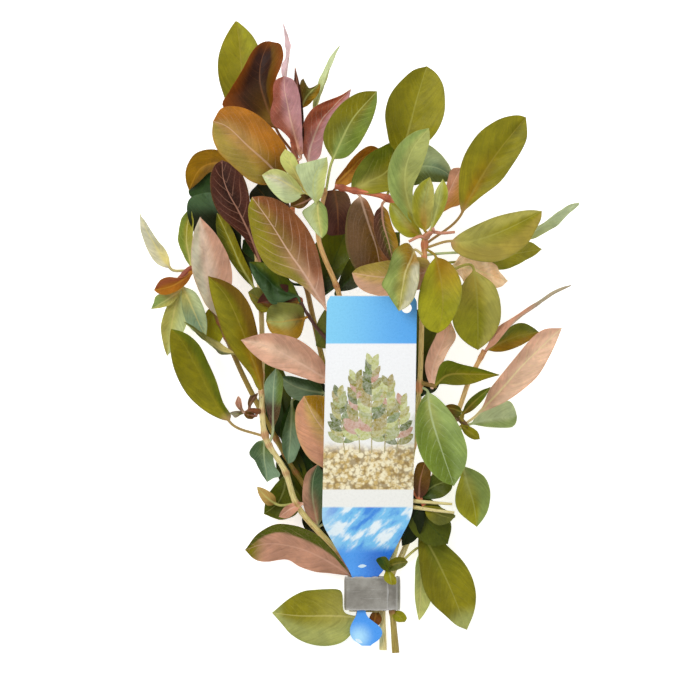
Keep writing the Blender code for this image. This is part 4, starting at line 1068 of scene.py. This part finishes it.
class Paint:
    """A new material and the shader nodes that give it its look."""

    def __init__(self, name):
        self.material = bpy.data.materials.new(name)
        self.material.use_nodes = True
        self.nodes, self.links = self.material.node_tree.nodes, self.material.node_tree.links
        self.shader = self.nodes["Principled BSDF"]

    def feed(self, node, inputs):
        """Feeds a node's inputs from output sockets, or sets them to plain values."""
        for name, value in inputs.items():
            if isinstance(value, bpy.types.NodeSocket):
                self.links.new(value, node.inputs[name])
            else:
                node.inputs[name].default_value = value

    def node(self, kind, inputs, **settings):
        node = self.nodes.new("ShaderNode" + kind)
        for name, value in settings.items():
            setattr(node, name, value)
        self.feed(node, inputs)
        return node

    def surface(self, inputs):
        self.feed(self.shader, inputs)

    def maths(self, operation, first, second=0.0, clamp=False):
        inputs = {0: first, 1: second}
        return self.node("Math", inputs, operation=operation, use_clamp=clamp).outputs[0]

    def times(self, first, second):
        return self.maths("MULTIPLY", first, second)

    def plus(self, first, second, clamp=False):
        return self.maths("ADD", first, second, clamp)

    def minus(self, first, second):
        return self.maths("SUBTRACT", first, second)

    def size_of(self, value):
        return self.maths("ABSOLUTE", value)

    def span(self, value, low, high, start=0.0, end=1.0):
        """A smooth change from start to end while value goes from low to high."""
        inputs = {"Value": value, "From Min": low, "From Max": high, "To Min": start, "To Max": end}
        return self.node("MapRange", inputs, interpolation_type="SMOOTHSTEP").outputs["Result"]

    def mixed(self, factor, first, second, how="MIX"):
        first, second = (
            (*value, 1.0) if isinstance(value, tuple) else value for value in (first, second)
        )
        inputs = {0: factor, 6: first, 7: second}
        return self.node("Mix", inputs, data_type="RGBA", blend_type=how).outputs[2]

    def scaled(self, colour, amounts):
        """A colour with its red, green and blue each multiplied."""
        return self.mixed(1.0, colour, amounts, "MULTIPLY")

    def place(self):
        return self.nodes.new("ShaderNodeTexCoord").outputs["Object"]

    def vector(self, *parts):
        return self.node("CombineXYZ", dict(enumerate(parts))).outputs[0]

    def parts(self, vector):
        return self.node("SeparateXYZ", {0: vector}).outputs

    def noise(self, scale, detail=3.0, rough=0.5, place=None):
        inputs = {
            "Scale": scale, "Detail": detail, "Roughness": rough, "Vector": place or self.place(),
        }
        return self.node("TexNoise", inputs).outputs["Fac"]

    def cells(self, scale, feature):
        inputs = {"Scale": scale, "Vector": self.place()}
        return self.node("TexVoronoi", inputs, feature=feature).outputs["Distance"]

    def fact(self, name, output="Fac"):
        return self.node("Attribute", {}, attribute_name=name).outputs[output]

    def bump(self, height, distance):
        bump = self.node("Bump", {"Strength": 1.0, "Distance": distance, "Height": height})
        self.surface({"Normal": bump.outputs[0]})


def leaf_material(name, roughness, vein_strength, net, coat, whole):
    """A leaf: its own colours, with mottling, midrib, side veins and a fine net of veinlets, and
    streaks between the side veins that are partly painted light and shade.
    """
    p = Paint(name)
    along, across, phase = p.parts(p.fact("leaf", "Vector"))
    streaks = p.noise(1.3, 4.0, 0.6, p.vector(p.times(phase, 1.6), p.times(across, 1.1)))
    patchy, mottle, broken = p.noise(120, 3.0, 0.6), p.noise(520, 4.0, 0.65), p.noise(260, 2.0)
    tint, vein = p.fact("tint", "Color"), p.fact("vein_tint", "Color")
    darker = p.scaled(tint, (0.84, 0.84, 0.80))
    lighter = p.scaled(tint, (1.12, 1.10, 1.04))
    colour = p.mixed(p.span(patchy, 0.34, 0.66), darker, lighter)
    # pale and deep are lit and shaded copies of the colour: along the streaks they paint light and
    # shade between the side veins, over the leaf's own tone
    pale = p.scaled(colour, (1.25, 1.22, 1.2))
    deep = p.scaled(colour, (0.70, 0.68, 0.62))
    colour = p.mixed(p.span(streaks, 0.50, 0.74, 0.0, 0.8), colour, pale)
    colour = p.mixed(p.span(streaks, 0.50, 0.28, 0.0, 0.7), colour, deep)
    colour = p.mixed(p.span(mottle, 0.5, 0.8, 0.0, 0.5), colour, darker)
    centre = p.size_of(p.minus(p.maths("FRACT", phase), 0.5))
    side_vein = p.times(p.span(centre, 0.41, 0.49), p.span(p.size_of(across), 0.95, 0.6))
    side_vein = p.times(side_vein, p.span(broken, 0.4, 0.6, whole, 1.0))
    veinlets = p.span(p.cells(850, "DISTANCE_TO_EDGE"), 0.10, 0.0)
    colour = p.mixed(p.times(veinlets, net), colour, vein)
    colour = p.mixed(p.times(side_vein, vein_strength), colour, vein)
    wide = p.span(along, 0.0, 1.0, 0.66, 0.22)
    midrib = p.span(p.size_of(p.fact("rib")), wide, p.times(wide, 0.3))
    colour = p.mixed(p.times(midrib, 0.3 + vein_strength), colour, vein)
    shine = p.span(mottle, 0.2, 0.8, roughness - 0.08, roughness + 0.12)
    p.surface({
        "Base Color": colour,
        "Roughness": p.plus(shine, p.times(p.fact("under"), 0.15), True),
        "Specular IOR Level": 0.1,
        "Subsurface Weight": 0.06,
        "Subsurface Radius": (0.9, 0.8, 0.3),
        "Subsurface Scale": 0.0006,
        "Coat Weight": coat,
        "Coat Roughness": 0.35,
    })
    height = p.plus(p.times(side_vein, -0.4), p.times(veinlets, -0.2))
    p.bump(p.plus(height, p.times(mottle, 0.6)), 0.00018)
    return p.material


def stem_material(name):
    """A stem: its own colours, with fine streaks along it and small dark flecks."""
    p = Paint(name)
    along, around, _ = p.parts(p.fact("leaf", "Vector"))
    turn = p.times(around, 6.2832)
    across = [p.times(p.maths(wave, turn), 5.0) for wave in ("COSINE", "SINE")]
    streaks = p.noise(1.0, 4.0, 0.6, p.vector(*across, p.times(along, 0.22)))
    tint = p.fact("tint", "Color")
    darker = p.scaled(tint, (0.74, 0.64, 0.46))
    colour = p.mixed(p.span(streaks, 0.36, 0.62), darker, p.scaled(tint, (1.18, 1.16, 1.12)))
    colour = p.mixed(p.span(p.noise(160, 3.0), 0.5, 0.75, 0.0, 0.3), colour, darker)
    fleck = p.span(p.cells(420, "F1"), 0.17, 0.07, 0.0, 0.55)
    p.surface({
        "Base Color": p.mixed(fleck, colour, (0.09, 0.04, 0.015)),
        "Roughness": p.span(streaks, 0.2, 0.8, 0.38, 0.6),
        "Subsurface Weight": 0.1,
        "Subsurface Radius": (1.0, 0.7, 0.3),
        "Subsurface Scale": 0.001,
    })
    p.bump(p.plus(streaks, p.times(fleck, -0.6)), 0.00025)
    return p.material


def lead_material():
    """Soft grey metal: cloudy tarnish, fine scratches along the band, pressed edges, and pale folds
    that are painted highlights.
    """
    p = Paint("lead")
    cloud, fine = p.noise(130, 5.0, 0.6), p.noise(1400, 3.0, 0.6)
    drawn_out = p.node("Mapping", {"Scale": (0.25, 6.0, 1.0), "Vector": p.place()}).outputs[0]
    scratch = p.noise(300, 4.0, 0.7, drawn_out)
    colour = p.mixed(p.span(cloud, 0.3, 0.7), (0.21, 0.195, 0.165), (0.35, 0.335, 0.295))
    colour = p.mixed(p.span(scratch, 0.58, 0.72, 0.0, 0.5), colour, (0.55, 0.54, 0.52))
    colour = p.mixed(p.span(fine, 0.56, 0.8, 0.0, 0.4), colour, (0.14, 0.13, 0.12))
    x = p.parts(p.place())[0]
    # The pale folds: painted highlights where the lead bends round
    for low, high in STRIP_FOLD_HIGHLIGHTS:
        middle = p.size_of(p.minus(x, (low + high) / 2))
        pale = p.span(middle, (high - low) / 2, 0.0, 0.0, 0.5)
        colour = p.mixed(pale, colour, (0.60, 0.59, 0.55))
    p.surface({
        "Base Color": p.mixed(p.times(p.fact("under"), 0.65), colour, (0.62, 0.61, 0.59)),
        "Metallic": 0.35,
        "Roughness": p.span(cloud, 0.3, 0.7, 0.62, 0.42),
    })
    p.bump(p.plus(p.times(scratch, 0.6), fine), 0.00012)
    return p.material


def print_material():
    """The card's face: blue header, pale picture with sand, a white band, and waves."""
    p = Paint("label_print")
    x, y, _ = p.parts(p.place())
    header = p.mixed(p.span(x, -0.014, 0.021), (0.24, 0.67, 0.97), (0.10, 0.43, 0.94))
    paper = p.mixed(p.span(y, *PAPER_SHADE), (0.93, 0.93, 0.88), (0.97, 0.985, 1.0))
    colour = p.mixed(p.span(y, *HEADER_FOOT), paper, header)
    grains = p.span(p.noise(420, 2.0, 0.6), 0.36, 0.62)
    stones = p.mixed(grains, (0.62, 0.44, 0.15), (0.97, 0.88, 0.60))
    gaps = p.span(p.cells(660, "F1"), 0.42, 0.8, 0.0, 0.75)
    stones = p.mixed(gaps, stones, (0.26, 0.16, 0.05))
    uneven = p.plus(y, p.times(p.noise(60, 2.0), 0.006))
    colour = p.mixed(p.times(p.span(uneven, *SAND_TOP), p.span(y, *SAND_FOOT)), colour, stones)
    slant = p.vector(p.times(p.plus(x, y), 0.45), p.times(p.minus(y, x), 1.3))
    water = p.noise(95, 4.0, 0.55, slant)
    blue = p.mixed(p.span(water, 0.36, 0.5), (0.05, 0.27, 0.80), (0.20, 0.58, 0.93))
    blue = p.mixed(p.span(water, 0.5, 0.6), blue, (0.86, 0.96, 1.0))
    blue = p.mixed(p.span(x, -0.004, -0.014, 0.0, 0.45), blue, (0.62, 0.85, 0.98))
    neck = p.mixed(p.span(x, -0.004, 0.008), (0.08, 0.36, 0.92), (0.03, 0.20, 0.78))
    # The drop is paler round one spot: a painted highlight on the glossy plastic
    off = [p.maths("POWER", p.minus(value, middle), 2.0)
           for value, middle in zip((x, y), DROP_HIGHLIGHT_MIDDLE)]
    apart = p.maths("SQRT", p.plus(*off))
    drop = p.mixed(p.span(apart, 0.0, DROP_HIGHLIGHT_REACH), (0.42, 0.76, 1.0), (0.06, 0.32, 0.88))
    neck = p.mixed(p.span(y, *DROP_TOP), neck, drop)
    blue = p.mixed(p.span(y, *NECK_TOP, 1.0, 0.0), blue, neck)
    fine = p.noise(900, 2.0)
    p.surface({
        "Base Color": p.mixed(p.span(y, *WATER_TOP), colour, blue),
        "Roughness": p.span(fine, 0.3, 0.7, 0.24, 0.34),
        "Coat Weight": 0.3,
        "Coat Roughness": 0.12,
    })
    p.bump(fine, 0.00003)
    return p.material


def card_material():
    """The card's back and edges: pale plastic with a faint cast and fine wear."""
    p = Paint("label_back")
    y = p.parts(p.place())[1]
    fine = p.noise(500, 4.0, 0.6)
    colour = p.mixed(p.span(fine, 0.3, 0.7), (0.80, 0.86, 0.90), (0.88, 0.91, 0.93))
    p.surface({
        "Base Color": p.mixed(p.span(y, *CARD_BLUE_TOP), colour, (0.13, 0.46, 0.90)),
        "Roughness": p.span(fine, 0.3, 0.7, 0.3, 0.45),
    })
    p.bump(fine, 0.00004)
    return p.material


def ink_material():
    """Printed shapes: their own colours with a fine screen of tone; the pale glints among them are
    painted highlights.
    """
    p = Paint("label_ink")
    tone = p.noise(900, 3.0, 0.7)
    screen = p.span(tone, 0.3, 0.7, 0.0, 0.35)
    p.surface({
        "Base Color": p.mixed(screen, p.fact("tint", "Color"), (0.95, 0.97, 0.90)),
        "Roughness": p.span(tone, 0.3, 0.7, 0.26, 0.36),
    })
    p.bump(tone, 0.00002)
    return p.material


def make_materials():
    return {
        **{name: leaf_material(name, *look) for name, look in LEAF_LOOKS.items()},
        "stem_tan": stem_material("stem_tan"),
        "stem_red": stem_material("stem_red"),
        "lead": lead_material(),
        "print": print_material(),
        "card": card_material(),
        "ink": ink_material(),
    }


def make_leaves(materials, paths):
    slot_of = {node: slot for slot, nodes in SLOTS.items() for node in nodes}
    seed = 0
    for stem, group in LEAVES.items():
        for name, spec in group.items():
            seed += 1
            batch = Batch()
            add_leaf(batch, spec, foot_of(spec, paths[stem]), seed)
            slot = slot_of[name]
            batch.piece("fine_" + name, [materials[slot]], (name,))


def twig_route(young, paths):
    route = [np.array(p) for p in young["twig"]]
    if young["stem"]:
        route.insert(0, nearest_on(paths[young["stem"]], route[0][:2])[0])
    return smooth_path(route, STEM_RING_STEP)


def make_stems(materials, paths):
    """Stems with their twigs; the young leaves on them are pieces of their own."""
    seed = FIRST_SHOOT_SEED
    for stem, path in paths.items():
        feet = [spec["foot"] for spec in LEAVES[stem].values()]
        shoots = {name: young for name, young in SHOOTS.items() if young["stem"] == stem}
        for young in shoots.values():
            twig = young["twig"]
            feet += [twig[0][:2]] if twig else [spec["foot"] for spec in young["leaves"]]
        marks = sorted({nearest_on(path, foot)[2] for foot in feet})
        batch = Batch()
        radii, colours = stem_profile(path, STEM_COLOURS[stem], STEM_RADIUS, marks, STEM_TAPER)
        add_tube(batch, path, radii, colours, STEM_SIDES)
        for name, young in shoots.items():
            if young["twig"]:
                names = TWIG_COLOURS.get(name, STEM_COLOURS[stem][2:])
                add_twig(batch, young, twig_route(young, paths), names)
        slot = "stem_red" if stem == "branch_salmon" else "stem_tan"
        batch.piece("fine_" + stem, [materials[slot]], (stem,))
        for name, young in shoots.items():
            if young["leaves"]:
                seed = make_shoot_leaves(materials, paths, name, (stem,), seed)
    sprout = "sprout_at_strip"
    batch = Batch()
    add_twig(batch, SHOOTS[sprout], twig_route(SHOOTS[sprout], paths), TWIG_COLOURS[sprout])
    batch.piece("fine_sprout_stalk", [materials["stem_tan"]], (sprout,))
    make_shoot_leaves(materials, paths, sprout, (sprout,), seed)


def add_twig(batch, young, route, names):
    marks = [nearest_on(route, spec["foot"])[2] for spec in young["leaves"]]
    foot, beyond = names
    names = (foot, beyond, beyond, beyond)
    radii, colours = stem_profile(route, names, TWIG_RADIUS, marks, TWIG_TAPER)
    add_tube(batch, route, radii, colours, TWIG_SIDES)


def make_shoot_leaves(materials, paths, name, nodes, seed):
    young = SHOOTS[name]
    route = twig_route(young, paths) if young["twig"] else paths[young["stem"]]
    batch = Batch()
    for spec in young["leaves"]:
        seed += 1
        add_leaf(batch, spec, nearest_on(route, spec["foot"])[0], seed)
    batch.piece("fine_" + name + "_leaves", [materials[young["slot"]]], nodes)
    return seed


def label_height(y):
    """The card lies flat in the strip, then rises in a straight slope over the bunch."""
    low, high = LABEL_BEND_Y
    slope = math.tan(LABEL_SLOPE)
    y = np.asarray(y, float)
    bend = LABEL_NECK_Z + slope * (np.clip(y, low, high) - low) ** 2 / (2 * (high - low))
    return np.where(y > high, LABEL_NECK_Z + slope * (y - (low + high) / 2), bend)


def smoothed(values, reach):
    """A running mean that keeps the ends."""
    padded = np.concatenate([[values[0]] * reach, values, [values[-1]] * reach])
    return np.convolve(padded, np.ones(2 * reach + 1) / (2 * reach + 1), "valid")


def make_label(materials):
    ys, lefts, rights = (np.array(column) for column in zip(*LABEL_EDGES[::-1]))
    y = np.concatenate([np.arange(ys[0], ys[-1], LABEL_ROW_STEP), [ys[-1]]])
    left, right = (smoothed(np.interp(y, ys, edge), 2) for edge in (lefts, rights))
    x = left[:, None] + (right - left)[:, None] * np.linspace(0, 1, LABEL_COLUMNS)
    rows = np.broadcast_to(y[:, None], x.shape)
    middle = np.stack([x, rows, label_height(rows)], axis=-1)
    normal = unit(np.cross(np.gradient(middle, axis=1), np.gradient(middle, axis=0)))
    top = middle + normal * LABEL_THICK / 2
    bottom = middle - normal * LABEL_THICK / 2
    batch = Batch()
    points = np.concatenate([top.reshape(-1, 3), bottom.reshape(-1, 3)])
    batch.add(points, shell_faces(len(y), LABEL_COLUMNS))
    faces = [materials["print"], materials["card"]]
    card = batch.piece("fine_plant_label", faces, ("plant_label",))
    cut_label_hole(card)
    for polygon in card.data.polygons:
        polygon.material_index = 0 if polygon.normal.z > 0.4 else 1
        polygon.use_smooth = False
    print_sprigs(materials)


def cut_label_hole(card):
    """A round hanging hole through the card, its modifier applied."""
    x, y, radius = LABEL_HOLE
    mesh = bpy.data.meshes.new("hole")
    bm = bmesh.new()
    bmesh.ops.create_cone(
        bm, cap_ends=True, segments=HOLE_SIDES, radius1=radius * MM, radius2=radius * MM,
        depth=DRILL_LENGTH * MM,
    )
    bm.to_mesh(mesh)
    bm.free()
    drill = placed("hole", mesh)
    drill.location = (x * MM, y * MM, float(label_height(y)) * MM)
    cut = card.modifiers.new("hole", "BOOLEAN")
    cut.operation = "DIFFERENCE"
    cut.object = drill
    cut.solver = "EXACT"
    bpy.context.view_layer.update()
    made = bpy.data.meshes.new_from_object(
        card.evaluated_get(bpy.context.evaluated_depsgraph_get())
    )
    card.modifiers.clear()
    card.data = made
    bpy.data.objects.remove(drill)


def ink_shape(batch, outline, colour, lift):
    """A thin printed shape on the sloping card."""
    outline = np.asarray(outline, float)
    z = label_height(outline[:, 1]) + LABEL_THICK / 2 / math.cos(LABEL_SLOPE)
    n = len(outline)
    low = np.column_stack([outline, z - INK_SUNK])
    high = np.column_stack([outline, z + lift])
    faces = [tuple(range(n)), tuple(range(2 * n - 1, n - 1, -1))]
    faces += [(i, n + i, n + (i + 1) % n, (i + 1) % n) for i in range(n)]
    batch.add(np.concatenate([high, low]), faces, tint=linear(colour))


def leaf_outline(foot, direction, length, width):
    """A pointed oval in plan."""
    t = np.linspace(0, 1, 9)
    half = width / 2 * np.sin(np.pi * t) ** 0.8
    ahead = np.array([math.cos(direction), math.sin(direction)])
    aside = np.array([-ahead[1], ahead[0]])
    spine = np.array(foot) + t[:, None] * length * ahead
    right = spine - half[:, None] * aside
    left = spine + half[:, None] * aside
    return np.concatenate([right, left[-2:0:-1]])


def print_sprigs(materials):
    """A plain printed picture: leafy sprigs standing in the sand, and two glints below, painted
    highlights in pale ink.
    """
    rnd = random.Random(7)
    batch = Batch()
    lift = INK_LIFT
    aside = np.array([SPRIG_HALF, 0.0])
    for x, height, lean_by in SPRIGS:
        base = np.array([x, SPRIG_FOOT_Y])
        top = base + np.array([lean_by * height, height])
        stalk = [base - aside, base + aside, top + aside / 2, top - aside / 2]
        ink_shape(batch, stalk, "khaki", lift)
        pairs = int(height / BLADE_STEP)
        for k in range(pairs + 1):
            share = 0.18 + 0.82 * k / pairs
            at = base + (top - base) * share
            size = 7.8 - 2.8 * share
            for side in (-1, 1):
                turn = math.pi / 2 - side * (1.15 - 0.75 * share + rnd.uniform(-0.15, 0.15))
                lift += INK_STEP
                blade = leaf_outline(at, turn, size, size * 0.46)
                blade[:, 0] = np.clip(blade[:, 0], *PICTURE_X)
                ink_shape(batch, blade, rnd.choice(SPRIG_COLOURS), lift)
    # Two glints: painted highlights on the glossy card, drawn in pale ink
    for place, turn, size in GLINTS:
        ink_shape(batch, leaf_outline(place, turn, size, GLINT_WIDTH), "glint", GLINT_LIFT)
    batch.piece("label_picture", [materials["ink"]])


def strip_outline(inset):
    """Points round the flattened band in the plane across the bunch, from the top left on."""
    width, _, height = STRIP_SIZE
    radius = height / 2 - inset
    straight = (width - height) / 2
    around = []
    total = 4 * straight + 2 * math.pi * radius
    for k in range(STRIP_SIDES):
        s = total * k / STRIP_SIDES
        if s < 2 * straight:
            around.append((-straight + s, radius))
        elif s < 2 * straight + math.pi * radius:
            a = math.pi / 2 - (s - 2 * straight) / radius
            around.append((straight + radius * math.cos(a), radius * math.sin(a)))
        elif s < 4 * straight + math.pi * radius:
            around.append((straight - (s - 2 * straight - math.pi * radius), -radius))
        else:
            a = -math.pi / 2 - (s - 4 * straight - math.pi * radius) / radius
            around.append((-straight + radius * math.cos(a), radius * math.sin(a)))
    return np.array(around)


def make_strip(materials):
    """The lead band: a closed ring with uneven edges, and its overlapping end on top."""
    _, length, height = STRIP_SIZE
    count = STRIP_SIDES
    outer = strip_outline(STRIP_INSET)
    inner = strip_outline(STRIP_INSET + STRIP_WALL)
    t = np.linspace(-0.5, 0.5, STRIP_STEPS)
    batch = Batch()
    rings = []
    worn = []
    wobble = 0.16 * np.sin(np.arange(count) * 0.31) + 0.10 * np.sin(np.arange(count) * 0.83 + 1)
    for profile, order, sign in ((outer, t, 1), (inner, t[::-1], -1)):
        for share in order:
            soft = (2 * abs(share)) ** 8
            place = profile * (1 - sign * STRIP_ROUNDING * soft)
            dent = 0.07 * np.sin(place[:, 0] * 0.9 + share * 5) * np.cos(place[:, 1] + share * 9)
            y = share * (length - 0.5) + wobble * (2 * abs(share)) ** 3
            rings.append(np.column_stack([
                STRIP_CENTRE[0] + place[:, 0], STRIP_CENTRE[1] + y,
                height / 2 + place[:, 1] * (1 + 0.02 * dent),
            ]))
            worn.append(np.full(count, soft * 0.9 if sign > 0 else 0.1))
    total = len(rings)
    faces = []
    for k in range(total):
        for j in range(count):
            a = k * count + j
            b = k * count + (j + 1) % count
            c = ((k + 1) % total) * count
            faces.append((a, b, c + (j + 1) % count, c + j))
    batch.add(np.concatenate(rings), faces, under=np.concatenate(worn).reshape(-1, 1))
    add_strip_flap(batch)
    batch.piece("fine_lead_strip", [materials["lead"]], ("lead_strip",))


def add_strip_flap(batch):
    """The end of the band laid over itself, from the left bend to the seam."""
    _, length, height = STRIP_SIZE
    columns, rows = FLAP_GRID
    start, end = FLAP_X
    x, y = np.meshgrid(
        np.linspace(start, end, columns), np.linspace(-0.5, 0.5, rows), indexing="ij"
    )
    z = height - 0.12 + 0.05 * np.sin(x * 0.8 + 7 * y) * np.cos(5 * y)
    z = z - 0.30 * (1 - ease(start, -3.9, x))
    x = x + 0.18 * np.sin(9 * y + 1) * ease(8, end, x)
    y = STRIP_CENTRE[1] - 0.15 + y * (length - 0.7) + 0.12 * np.sin(x * 0.7) * np.abs(2 * y) ** 3
    top = np.stack([x, y, z], axis=-1).reshape(-1, 3)
    low = top - (0, 0, FLAP_THICK)
    worn = np.maximum(ease(10.3, end, x), ease(0.42, 0.5, np.abs(y - STRIP_CENTRE[1]) / length))
    worn = np.concatenate([worn.ravel(), worn.ravel() * 0.5]).reshape(-1, 1)
    faces = shell_faces(columns, rows)
    batch.add(np.concatenate([top, low]), [face[::-1] for face in faces], under=worn)


def make_floor():
    mesh = bpy.data.meshes.new("floor")
    corners = [(x * FLOOR_HALF, y * FLOOR_HALF, 0) for x, y in ((-1, -1), (1, -1), (1, 1), (-1, 1))]
    mesh.from_pydata(corners, [], [(0, 1, 2, 3)])
    floor = placed("floor", mesh)
    floor.location.z = -FLOOR_DROP
    p = Paint("floor")
    clouds = p.span(p.noise(3.0), 0.3, 0.7)
    p.surface({
        "Base Color": p.mixed(clouds, (0.90, 0.90, 0.895), (0.92, 0.92, 0.915)),
        "Roughness": 0.9,
        "Emission Color": (1.0, 1.0, 1.0, 1.0),
        "Emission Strength": 0.6,
    })
    mesh.materials.append(p.material)


def area_light(name, place, size, power):
    """A square light that points at the middle of the floor."""
    data = bpy.data.lights.new(name, "AREA")
    data.shape = "SQUARE"
    data.size = size
    data.energy = power
    lamp = placed(name, data)
    lamp.location = place
    lamp.rotation_euler = (-Vector(place)).to_track_quat("-Z", "Y").to_euler()


def make_stage():
    scene = bpy.context.scene
    make_floor()
    for name, light in LIGHTS.items():
        area_light(name, *light)
    world = bpy.data.worlds.new("studio")
    world.use_nodes = True
    world.node_tree.nodes["Background"].inputs[0].default_value = (1.0, 1.0, 1.0, 1.0)
    world.node_tree.nodes["Background"].inputs[1].default_value = WORLD_STRENGTH
    scene.world = world
    scene.view_settings.view_transform = "Standard"
    data = bpy.data.cameras.new("camera")
    data.sensor_width = CAMERA_SENSOR
    data.lens = CAMERA_LENS
    camera = placed("camera", data)
    camera.location = CAMERA_PLACE
    scene.camera = camera


def main():
    make_stage()
    materials = make_materials()
    paths = {name: smooth_path(route, STEM_RING_STEP) for name, route in STEMS.items()}
    make_stems(materials, paths)
    make_leaves(materials, paths)
    make_label(materials)
    make_strip(materials)


main()
